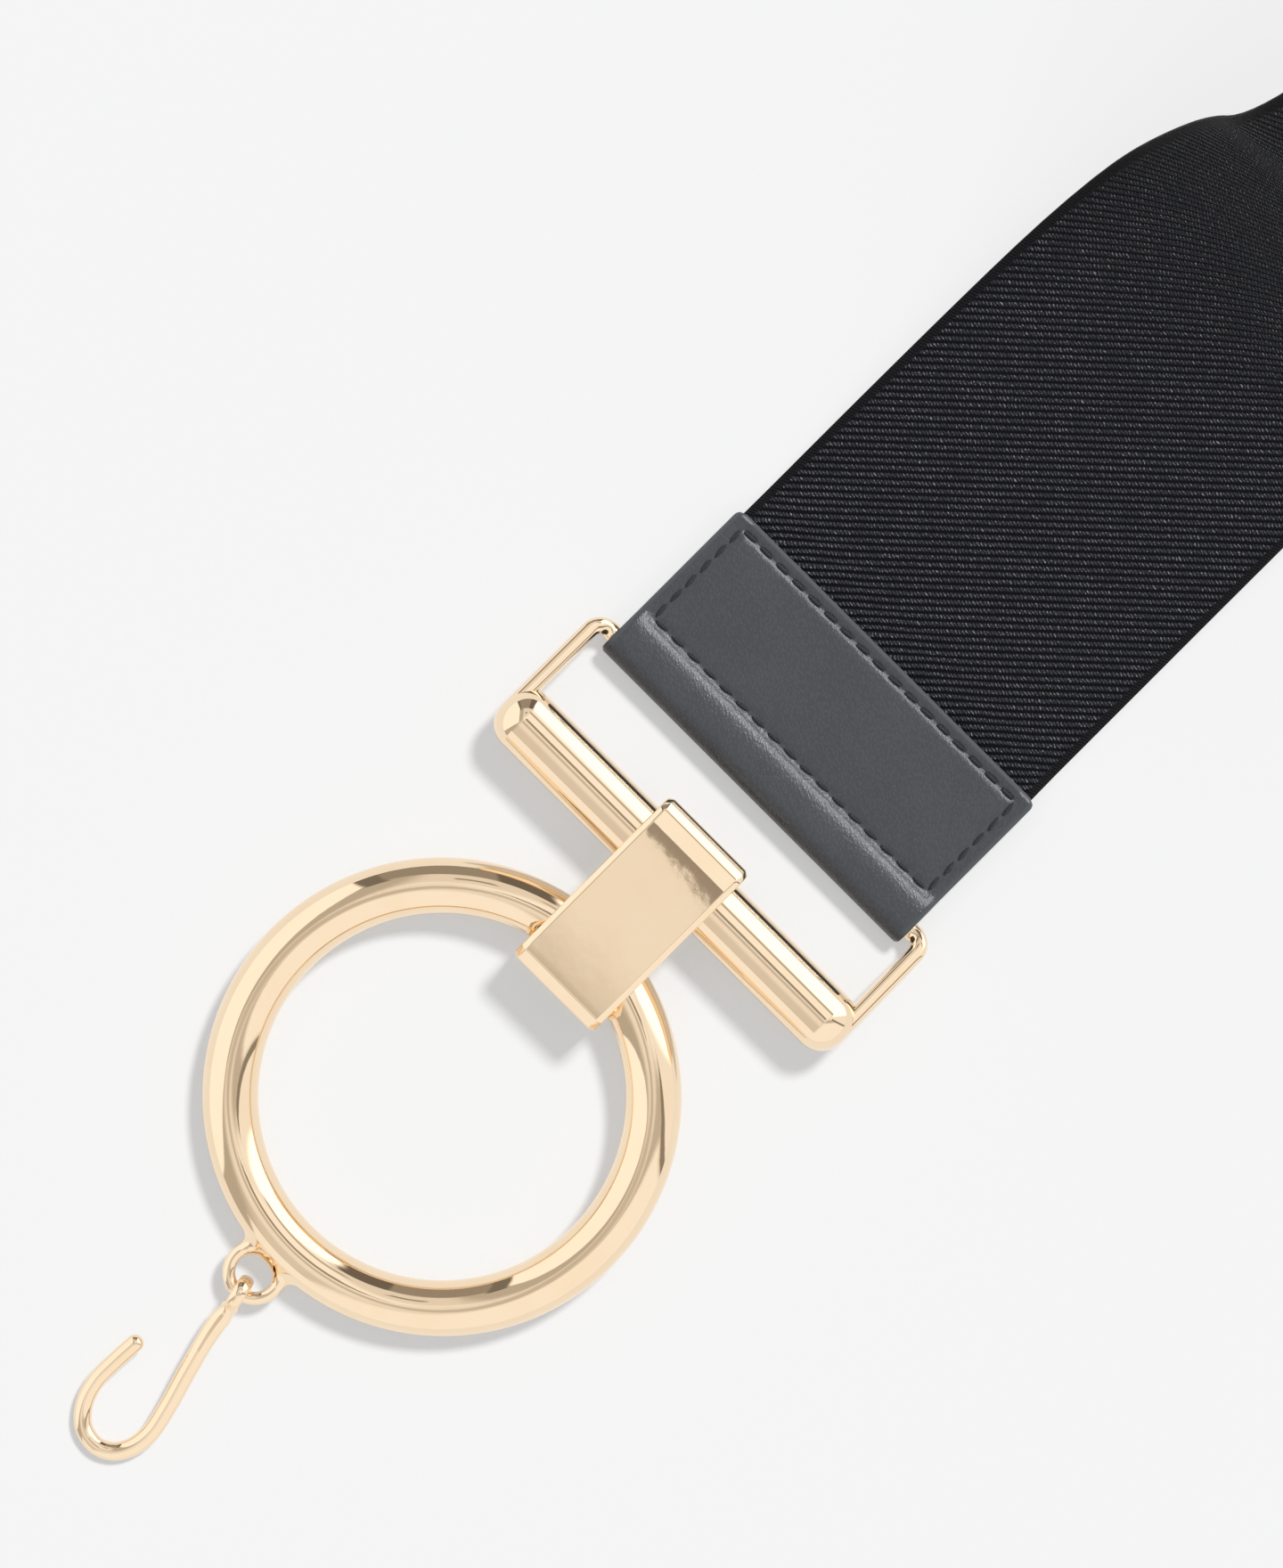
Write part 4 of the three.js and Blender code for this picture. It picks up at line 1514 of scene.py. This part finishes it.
@dataclass
class BuckleFrame(MetalPiece):
    """Fat bar with rounded ends, and one rod bent round from end to end of it through the leather fold."""

    half_width: float = 35.2
    bar_radius: float = 4.9
    bar_end_round: float = 4.2
    arm_half_width: float = 1.3
    arm_half_height: float = 2.6
    back_half_height: float = 1.4
    corner_round: float = 2.1
    bar_around: int = 128
    end_rows: int = 20
    rod_start: float = 1.6
    rod_around: int = 40
    corner_points: int = 12
    rod_step: float = 0.5
    arm_taper: float = 0.5
    arm_squareness: float = 3.2
    fold_start: float = 0.3
    fold_blend: float = 2.6
    tip_length: float = 2.2
    tip_end: float = 0.97
    sharp_degrees: float = 38.0

    def build(self) -> bpy.types.Object:
        """Makes the frame.

        Returns:
            The object.
        """
        bar, _ = joint_place("keeper_hinge")
        back, _ = joint_place("frame_hinge")
        angle = np.linspace(0, np.pi / 2, self.end_rows)
        radius = self.bar_radius - self.bar_end_round * (1 - np.sin(angle))
        reach = self.half_width - self.bar_end_round * (1 - np.cos(angle))
        y = np.concatenate([-reach, reach[::-1]])
        wide = np.concatenate([radius, radius[::-1]])
        path = np.stack([np.full_like(y, bar[0]), y, np.full_like(y, bar[2])], axis=1)
        casting = make_object("polished_frame", *sweep(path, wide, wide, self.bar_around))
        unite(casting, [self._rod(bar, back)])
        return self.finish_piece(shade(casting, self.sharp_degrees), Body.FRAME, "buckle_frame")

    def _rod(self, bar: np.ndarray, back: np.ndarray) -> bpy.types.Object:
        """Makes the two arms and the back bar as one rod.

        Args:
            bar: the fat bar's middle.
            back: the back bar's middle.

        Returns:
            The rod's object.
        """
        side = self.half_width - self.arm_half_width
        r = self.corner_round
        turn = arc((back[0] - r, side - r), r, 90, 0, self.corner_points)
        half = np.vstack([[[bar[0] - self.rod_start, side]], turn, [[back[0], 0.0]]])
        plan = along_line(np.vstack([half, half[::-1][1:] * [1, -1]]), self.rod_step)
        share = np.clip((plan[:, 0] - bar[0]) / (back[0] - bar[0]), 0, 1)
        path = np.column_stack([plan, bar[2] + (back[2] - bar[2]) * share])
        in_fold = ease((side - self.fold_start - np.abs(plan[:, 1])) / self.fold_blend)
        arm_height = self.arm_half_height - self.arm_taper * share
        high = arm_height + (self.back_half_height - arm_height) * in_fold
        wide = self.arm_half_width + (self.back_half_height - self.arm_half_width) * in_fold
        square = self.arm_squareness + (2 - self.arm_squareness) * in_fold
        to_end = np.minimum(np.arange(len(plan)), np.arange(len(plan))[::-1]) * self.rod_step
        tip = np.sqrt(1 - np.clip(1 - to_end / self.tip_length, 0, self.tip_end) ** 2)
        return make_object("rod", *sweep(path, wide * tip, high * tip, self.rod_around, square))


@dataclass
class Keeper(MetalPiece):
    """The flat band that holds the ring to the fat bar."""

    wall: float = 1.6
    ring_end_wall: float = 2.7
    bar_end_wall: float = 2.2
    bar_end_round: float = 2.9
    ring_end_bevel: float = 1.8
    slot_round: float = 2.0
    side_bevel: float = 0.8
    side_drop: float = 0.5
    mouth_round: float = 0.35
    crown: float = 0.22
    end_dip: float = 0.22
    end_dip_length: float = 2.3
    end_dip_power: float = 1.3
    end_lean: float = 8.0
    edge_bevel: float = 0.22
    edge_segments: int = 3
    edge_degrees: float = 24.0
    corner_points: int = 14
    top_points: tuple[int, int] = (10, 20)
    slot_points: int = 10

    def _outline(self, low: Vector, high: Vector, inset: float) -> np.ndarray:
        """Draws the band's outline from the side.

        Args:
            low: the box's lowest corner.
            high: its highest corner.
            inset: how far inside the full outline.

        Returns:
            The points, X and Z.
        """
        left, right, bottom, top = low.x + inset, high.x - inset, low.z + inset, high.z - inset
        bevel = self.ring_end_bevel - inset * (2 - math.sqrt(2))
        turn = self.bar_end_round - inset
        lean = math.radians(self.end_lean)
        top_end = right - turn * (1 - math.sin(lean))
        dip_end = top_end - self.end_dip_length
        in_dip, past_dip = self.top_points
        x = np.concatenate([np.linspace(top_end, dip_end, in_dip)[:-1],
                            np.linspace(dip_end, left + bevel, past_dip)])
        middle, half = (low.x + high.x) / 2, (high.x - low.x) / 2
        dip = np.clip(1 - (top_end - x) / self.end_dip_length, 0, 1) ** self.end_dip_power * self.end_dip
        crowned = top - self.crown * ((x - middle) / half) ** 2 - dip
        upper = np.stack([x, crowned], axis=1)
        end_z = crowned[0] - turn * math.cos(lean)
        return np.vstack([
            [[left, bottom + bevel]], [[left + bevel, bottom]],
            arc((right - turn, bottom + turn), turn, -90, 0, self.corner_points),
            arc((right - turn, end_z), turn, 0, 90 - self.end_lean, self.corner_points)[:-1],
            upper,
            [[left, top - bevel]],
        ])

    def _slot(self, low: Vector, high: Vector, outset: float) -> np.ndarray:
        """Draws the slot's outline from the side.

        Args:
            low: the box's lowest corner.
            high: its highest corner.
            outset: how far outside the slot.

        Returns:
            The points, X and Z.
        """
        left, right = low.x + self.ring_end_wall - outset, high.x - self.bar_end_wall + outset
        bottom, top = low.z + self.wall - outset, high.z - self.wall + outset
        r = self.slot_round + outset
        corners = ((left, bottom, 180), (right, bottom, 270), (right, top, 0), (left, top, 90))
        inward = ((1, 1), (-1, 1), (-1, -1), (1, -1))
        return np.vstack([arc((x + r * sx, z + r * sz), r, start, start + 90, self.slot_points)
                          for (x, z, start), (sx, sz) in zip(corners, inward)])

    def build(self) -> bpy.types.Object:
        """Makes the keeper.

        Returns:
            The object.
        """
        low, high = (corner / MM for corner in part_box("keeper"))
        half, middle = (high.y - low.y) / 2, (high.y + low.y) / 2
        flank, mouth = half - self.side_bevel, half - self.mouth_round
        sides = ((-half, self.side_drop), (-flank, 0.0), (-half / 3, 0.0), (half / 3, 0.0), (flank, 0.0),
                 (half, self.side_drop))
        mouths = ((-half, self.mouth_round), (-mouth, 0.0), (mouth, 0.0), (half, self.mouth_round))
        made = bmesh.new()
        ends = []
        for rows, draw in ((sides, self._outline), (mouths, self._slot)):
            rings = [[made.verts.new((x * MM, (middle + y) * MM, z * MM)) for x, z in draw(low, high, offset)]
                     for y, offset in rows]
            for one, other in zip(rings, rings[1:]):
                for j in range(len(one)):
                    k = (j + 1) % len(one)
                    made.faces.new((one[j], one[k], other[k], other[j]))
            ends.append((rings[0], rings[-1]))
        for end in (0, 1):
            edges = [made.edges.get((ring[end][j], ring[end][(j + 1) % len(ring[end])]))
                     for ring in ends for j in range(len(ring[end]))]
            bmesh.ops.triangle_fill(made, use_beauty=True, edges=edges, normal=(0, 2 * end - 1, 0))
        bmesh.ops.recalc_face_normals(made, faces=made.faces)
        mesh = bpy.data.meshes.new("polished_keeper")
        made.to_mesh(mesh)
        made.free()
        obj = add_object("polished_keeper", mesh)
        bevel = obj.modifiers.new("edges", "BEVEL")
        bevel.width = self.edge_bevel * MM
        bevel.segments = self.edge_segments
        bevel.limit_method = "ANGLE"
        bevel.angle_limit = math.radians(self.edge_degrees)
        weighted = obj.modifiers.new("normals", "WEIGHTED_NORMAL")
        weighted.keep_sharp = True
        obj.data.shade_smooth()
        return self.finish_piece(settle(obj), Body.KEEPER, "keeper")


@dataclass
class RingWithEye(MetalPiece):
    """The round ring with the small eye cast on its far side."""

    mean_radius: float = 31.2
    tube_radius: float = 4.15
    turn_degrees: float = -1.8
    eye_from_centre: float = 37.9
    eye_mean_radius: float = 3.83
    eye_wire_radius: float = 0.97
    fillet: float = 2.2
    refined: float = 2.5
    ring_grid: tuple[int, int] = (300, 80)
    eye_grid: tuple[int, int] = (120, 36)

    def axes(self) -> tuple[np.ndarray, np.ndarray]:
        """Gives the ring's place.

        Returns:
            Its centre, and its own X, Y and Z as rows.
        """
        centre, z = joint_place("ring_turn")
        x = unit(np.array([1.0, 0, 0]) - z[0] * z)
        y = np.cross(z, x)
        turn = math.radians(self.turn_degrees)
        x = x * math.cos(turn) + y * math.sin(turn)
        return centre, np.stack([x, np.cross(z, x), z])

    def build(self) -> bpy.types.Object:
        """Makes the ring.

        Returns:
            The object.
        """
        centre, axes = self.axes()
        eye_centre = centre - axes[0] * self.eye_from_centre
        ring = Torus(centre, axes, self.mean_radius, self.tube_radius, self.tube_radius)
        eye = Torus(eye_centre, axes, self.eye_mean_radius, self.eye_wire_radius, self.eye_wire_radius)
        casting = make_object("polished_ring", *ring.mesh(*self.ring_grid))
        self._refine(casting, eye_centre)
        unite(casting, [make_object("eye", *eye.mesh(*self.eye_grid))])
        soften_joint(casting, [ring.distance, eye.distance], self.fillet)
        casting.data.shade_smooth()
        return self.finish_piece(casting, Body.RING, "ring")

    def _refine(self, obj: bpy.types.Object, eye_centre: np.ndarray) -> None:
        """Divides the ring's mesh more finely beside the eye.

        Args:
            obj: the ring's object.
            eye_centre: the middle of the eye.
        """
        made = bmesh.new()
        made.from_mesh(obj.data)
        near = Vector(eye_centre * MM)
        reach = (self.eye_mean_radius + self.refined) * MM
        for _ in range(2):
            edges = [e for e in made.edges if all((v.co - near).length < reach for v in e.verts)]
            bmesh.ops.subdivide_edges(made, edges=edges, cuts=1, use_grid_fill=True, smooth=0.0)
        bmesh.ops.triangulate(made, faces=[f for f in made.faces if len(f.verts) > 4])
        made.to_mesh(obj.data)
        made.free()


@dataclass
class WireHook(MetalPiece):
    """The wire hook, whose flat small loop hangs in the ring's eye."""

    wire_radius: float = 1.3
    wire_half_width: float = 1.4
    neck_length: float = 2.4
    tip_radius: float = 1.2
    heading_degrees: float = 192.5
    reach: float = 30.65
    loop_mean_radius: float = 2.23
    loop_half_thick: float = 0.67
    loop_half_width: float = 1.1
    fillet: float = 1.0
    step: float = 0.3
    thinning: tuple[float, float] = (0.55, 0.3)
    neck_share: float = 0.16
    neck_extra: float = 0.08
    neck_flatness: float = 0.22
    start_share: float = 0.66
    tip_rows: int = 9
    wire_around: int = 40
    loop_grid: tuple[int, int] = (96, 32)
    tip_end: float = 0.03
    line: tuple = (
        (2.4, -0.1), (7.5, -0.5), (14.0, -0.3), (19.7, 0.05), (24.5, 0.0), (27.9, -1.1), (30.1, -3.2),
        (30.7, -6.0), (29.3, -8.9), (26.2, -10.6), (22.4, -10.9), (18.2, -10.0), (14.6, -9.0))

    def _widths(self, count: int) -> tuple[np.ndarray, np.ndarray]:
        """Gives the wire's section, flatter at the neck and thinner towards the tip.

        Args:
            count: how many points its line has.

        Returns:
            Half its width and half its height at each point.
        """
        share = np.linspace(0, 1, count)
        thin_from, thin_length = self.thinning
        thin = np.clip((share - thin_from) / thin_length, 0, 1)
        radius = self.wire_radius + (self.tip_radius - self.wire_radius) * thin
        neck = 1 - np.clip(share / self.neck_share, 0, 1)
        start = ease(share * self.step * count / self.neck_length)
        wide = radius * self.wire_half_width / self.wire_radius * (1 + self.neck_extra * neck)
        wide = wide * (self.start_share + (1 - self.start_share) * start)
        return wide, radius * (1 - self.neck_flatness * neck)

    def build(self) -> bpy.types.Object:
        """Makes the hook.

        Returns:
            The object.
        """
        seat, y = joint_place("hook_hinge")
        dip = math.asin((seat[2] - self.wire_radius) / self.reach)
        heading = math.radians(self.heading_degrees)
        x = np.array([math.cos(heading) * math.cos(dip), math.sin(heading) * math.cos(dip), -math.sin(dip)])
        axes = np.stack([x, y, np.cross(x, y)])
        plan = smooth_line(np.array(self.line, float), self.step)
        path = seat + plan @ axes[:2]
        wide, high = self._widths(len(path))
        cap = np.linspace(0, np.pi / 2, self.tip_rows)[1:]
        tip = path[-1] + np.sin(cap)[:, None] * unit(path[-1] - path[-2]) * self.tip_radius
        shrink = np.maximum(np.cos(cap), self.tip_end)
        path = np.vstack([path, tip])
        wide = np.concatenate([wide, wide[-1] * shrink])
        high = np.concatenate([high, high[-1] * shrink])
        wire = make_object("wire_hook", *sweep(path, wide, high, self.wire_around, up=tuple(axes[2])))
        loop = Torus(seat, axes[[2, 0, 1]], self.loop_mean_radius, self.loop_half_thick, self.loop_half_width)
        unite(wire, [make_object("loop", *loop.mesh(*self.loop_grid))])

        def wire_field(where: np.ndarray) -> np.ndarray:
            """Gives the distance to the oval wire."""
            nearest = np.linalg.norm(where[:, None, :] - path[None, :, :], axis=2).argmin(axis=1)
            away = where - path[nearest]
            above = away @ axes[2]
            aside = np.sqrt(np.maximum((away ** 2).sum(axis=1) - above ** 2, 0))
            return (np.hypot(aside / wide[nearest], above / high[nearest]) - 1) * high[nearest]

        soften_joint(wire, [wire_field, loop.distance], self.fillet, rounds=3)
        wire.data.shade_smooth()
        return self.finish_piece(wire, Body.HOOK, "hook")


@dataclass
class CatchLoop(MetalPiece):
    """The plain wire loop in the far tab."""

    origin: np.ndarray
    axes: np.ndarray
    bar_x: float
    bar_height: float = 2.9
    half_width: float = 33.9
    depth: float = 15.9
    corner: float = 2.2
    wire_radius: float = 1.3
    step: float = 0.8
    wire_around: int = 32
    corner_points: int = 10

    def build(self) -> bpy.types.Object:
        """Makes the loop.

        Returns:
            The object.
        """
        r = self.corner
        right, left, side = self.bar_x - r, self.bar_x - self.depth + r, self.half_width - r
        corners = ((right, side), (left, side), (left, -side), (right, -side))
        turns = [arc(place, r, 90 * i, 90 * i + 90, self.corner_points) for i, place in enumerate(corners)]
        plan = along_line(np.vstack(turns), self.step, endless=True)
        path = np.column_stack([plan, np.full(len(plan), self.bar_height)])
        points, faces = sweep(path, self.wire_radius, self.wire_radius, self.wire_around, endless=True)
        loop = make_object("far_catch_loop", self.origin + points @ self.axes, faces)
        return self.finish_piece(loop, Body.BELT, "catch_loop")


# Studio


@dataclass(frozen=True)
class Panel:
    """A lit or dark area of the room, seen from the belt.

    Places are in degrees away from straight overhead, on a chart of the sky with the picture's right
    and top. Each edge is the direction that it faces and how far along that direction the area starts.
    """

    brightness: float
    edges: tuple[tuple[float, float], ...]
    softness: float = 2.0


@dataclass(frozen=True)
class Lamp:
    """A distant light: strength, direction in the picture, height and size in degrees."""

    strength: float
    direction: float
    height: float
    size: float


@dataclass
class Studio:
    """Camera, floor and light."""

    centre: tuple[float, float] = (-24.5, 12.4)
    height: float = 900.0
    lens: float = 139.5
    floor_size: float = 30000.0
    floor_drop: float = 0.02
    overhead: float = 0.56
    backdrop: float = 0.9
    warm: tuple[float, float, float] = (1.0, 0.88, 0.74)
    ceiling: float = 0.58
    fill: float = 0.07
    dome_tint: tuple[float, float, float] = (0.985, 1.0, 1.02)
    key_tint: tuple[float, float, float] = (1.0, 1.0, 0.99)
    key: Lamp = Lamp(2.66, 47.0, 56.0, 10.0)
    gloss: Lamp = Lamp(2.5, 42.0, 34.0, 28.0)
    panels: tuple[Panel, ...] = (
        Panel(0.97, ((90, -2.0),), 6.0),
        Panel(0.80, ((90, 15),), 10.0),
        Panel(0.52, ((180, 9),), 7.0),
        Panel(0.32, ((90, 48),), 5.0),
        Panel(0.16, ((150, 0), (348, 0), (70, 48))),
        Panel(0.20, ((200, 0), (26.6, 0), (113, 45))),
        Panel(1.10, ((180, 23), (206.6, 0), (117.2, 7.4))),
        Panel(1.0, ((270, 14), (239.4, -9), (315, 8)), 6.0),
        Panel(0.50, ((297.2, -7.4), (120, -4), (210, 35))),
        Panel(0.95, ((59.4, 16), (270, -9), (0, 31))),
        Panel(0.28, ((239.4, -16), (59.4, 10), (0, 28))),
        Panel(0.72, ((225, -20), (45, -62), (135, -9), (315, -9)), 12.0),
        Panel(0.90, ((45, -28), (135, -9), (315, -9)), 14.0),
        Panel(1.02, ((45, 3), (135, -9), (315, -9)), 5.0),
        Panel(1.7, ((0, 31), (90, 9), (330, 0)), 8.0),
        Panel(0.5, ((45, 30), (225, -37), (135, -12), (315, -12)), 3.0),
        Panel(1.0, ((225, 60), (135, -12), (315, -12)), 3.0),
        Panel(0.60, ((225, 4), (45, -12), (135, -8), (315, -8)), 4.5),
        Panel(0.35, ((0, -2), (180, -5), (90, 27), (270, -33)), 1.0),
        Panel(0.34, ((31.5, 1.75), (211.5, -9), (121.5, -5), (301.5, -6)), 0.2),
    )

    def camera(self) -> None:
        """Makes the camera, straight above the hook end, turned as the picture is."""
        data = bpy.data.cameras.new("camera")
        data.lens = self.lens
        camera = add_object("camera", data)
        camera.rotation_euler = (0, 0, math.radians(-PICTURE_TURN))
        camera.location = Vector((*self.centre, self.height)) * MM
        data.clip_start, data.clip_end = 0.01, 100
        bpy.context.scene.camera = camera

    def floor(self, finish: bpy.types.Material) -> None:
        """Makes the pale floor.

        Args:
            finish: its material.
        """
        half = self.floor_size / 2
        ground = ((-half, -half), (half, -half), (half, half), (-half, half))
        floor = make_object("floor", np.array([(x, y, -self.floor_drop) for x, y in ground]), [(0, 1, 2, 3)])
        floor.data.materials.append(finish)

    def _chart(self, tree: Tree, way: object) -> tuple:
        """Lays the sky out flat, in degrees from straight overhead.

        Args:
            tree: the world's Tree.
            way: the direction that is looked at.

        Returns:
            How far that is to the picture's right, and how far to its top.
        """
        turn = math.radians(PICTURE_TURN)
        right = tree.vector("DOT_PRODUCT", way, (math.cos(turn), -math.sin(turn), 0.0), out=1)
        upward = tree.vector("DOT_PRODUCT", way, (math.sin(turn), math.cos(turn), 0.0), out=1)
        lean = tree.times(tree.math("ARCCOSINE", tree.parts(way)[2]), 180 / math.pi)
        level = tree.math("SQRT", tree.total(tree.times(right, right), tree.times(upward, upward)))
        scale = tree.math("DIVIDE", lean, tree.math("MAXIMUM", level, NEARLY_NONE))
        return tree.times(right, scale), tree.times(upward, scale)

    def _sky(self, tree: Tree, way: object) -> bpy.types.NodeSocket:
        """Paints the panels over one another, as the polished metal mirrors them.

        Args:
            tree: the world's Tree.
            way: the direction that is looked at.

        Returns:
            The sky's colour there.
        """
        x, y = self._chart(tree, way)
        value = self.overhead
        for panel in self.panels:
            mask = None
            for facing, offset in panel.edges:
                turn, soft = math.radians(facing), panel.softness / 2
                reach = tree.total(tree.times(x, math.cos(turn)), tree.times(y, math.sin(turn)))
                inside = tree.spread(reach, offset - soft, offset + soft, smooth=True)
                mask = inside if mask is None else tree.times(mask, inside)
            value = tree.mix(mask, value, panel.brightness, "FLOAT")
        tint = tree.mix(tree.spread(value, 0.0, 1.0), rgba(self.warm), rgba((1.0, 1.0, 1.0)))
        return tree.scaled(tint, value)

    def light(self, leather: list[bpy.types.Object], hard: list[bpy.types.Object]) -> None:
        """Lights the scene with the soft panels of a small studio and two lamps.

        Args:
            leather: the pieces that the gloss lamp lights.
            hard: the pieces that throw the key lamp's shadow beside the leather.
        """
        world = bpy.data.worlds.new("studio")
        bpy.context.scene.world = world
        world.use_nodes = True
        world.node_tree.nodes.clear()
        tree = Tree(world.node_tree)
        way = tree.node("ShaderNodeTexCoord").outputs["Generated"]
        above = tree.math("MAXIMUM", tree.parts(way)[2], 0.0)
        dome = tree.times(tree.times(above, above), self.ceiling, self.fill)
        soft = tree.joined(*(tree.times(dome, share) for share in self.dome_tint))
        rays = tree.node("ShaderNodeLightPath").outputs
        mirrored = tree.times(rays["Is Glossy Ray"], tree.math("LESS_THAN", rays["Diffuse Depth"], 0.5))
        lit = tree.mix(mirrored, soft, self._sky(tree, way))
        shown = tree.mix(rays["Is Camera Ray"], lit, rgba((self.backdrop,) * 3))
        tree.node("ShaderNodeOutputWorld", tree.node("ShaderNodeBackground", shown).outputs[0])

        key = self._lamp("key", self.key)
        key.visible_glossy = False
        key.data.color = self.key_tint
        key.light_linking.blocker_collection = self._chosen("shadow pieces", leather + hard)
        gloss = self._lamp("gloss", self.gloss)
        gloss.visible_diffuse = False
        gloss.light_linking.receiver_collection = self._chosen("leather pieces", leather)
        bpy.context.scene.view_settings.view_transform = "Standard"

    @staticmethod
    def _chosen(name: str, pieces: list[bpy.types.Object]) -> bpy.types.Collection:
        """Lists pieces for a lamp.

        Args:
            name: the list's name.
            pieces: the pieces.

        Returns:
            A collection of them.
        """
        chosen = bpy.data.collections.new(name)
        for piece in pieces:
            chosen.objects.link(piece)
        return chosen

    @staticmethod
    def _lamp(name: str, lamp: Lamp) -> bpy.types.Object:
        """Adds a distant light.

        Args:
            name: its name.
            lamp: its strength and place.

        Returns:
            The light.
        """
        data = bpy.data.lights.new(name, "SUN")
        data.energy = lamp.strength
        data.angle = math.radians(lamp.size)
        light = add_object(name, data)
        turn, rise = math.radians(lamp.direction - PICTURE_TURN), math.radians(lamp.height)
        way = Vector((math.cos(turn) * math.cos(rise), math.sin(turn) * math.cos(rise), math.sin(rise)))
        light.rotation_euler = way.to_track_quat("Z", "Y").to_euler()
        return light


def note(pieces: list[bpy.types.Object]) -> None:
    """Logs each piece.

    Args:
        pieces: the finished pieces.
    """
    for piece in pieces:
        triangles = sum(len(face.vertices) - 2 for face in piece.data.polygons)
        log.info("%s: %d triangles", piece.name, triangles)


def main() -> None:
    """Builds the belt and its studio."""
    logging.basicConfig(level=logging.INFO, format="%(name)s: %(message)s")
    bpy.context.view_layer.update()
    shared = SharedEffects()
    studio = Studio()
    studio.camera()
    studio.floor(PaleFloor().build("pale floor", shared))

    weave = Weave()
    route = StrapRoute()
    gold = PolishedGold().build("polished gold", shared)
    leather = PebbledLeather().build("pebbled leather", shared)
    thread = SewingThread().build("sewing thread", shared)
    elastic = WovenElastic(weave).build("woven elastic", shared)

    note([ElasticBand(route, weave).build(elastic)])
    stitch_tree = LeatherTab.stitch_tree()
    front = LeatherTab("front_tab", "front_leather_tab", np.zeros(3), np.eye(3))
    origin, axes = route.far_tab_place()
    far = LeatherTab("far_tab", "far_leather_tab", origin, axes, seed=9)
    tabs = [piece for tab in (front, far) for piece in tab.build(leather, thread, stitch_tree)]
    metal = [
        BuckleFrame(gold).build(),
        Keeper(gold).build(),
        RingWithEye(gold).build(),
        WireHook(gold).build(),
        CatchLoop(gold, origin, axes, far.bar_x).build(),
    ]
    note(tabs + metal)
    studio.light(tabs, metal)


if __name__ == "__main__":
    main()
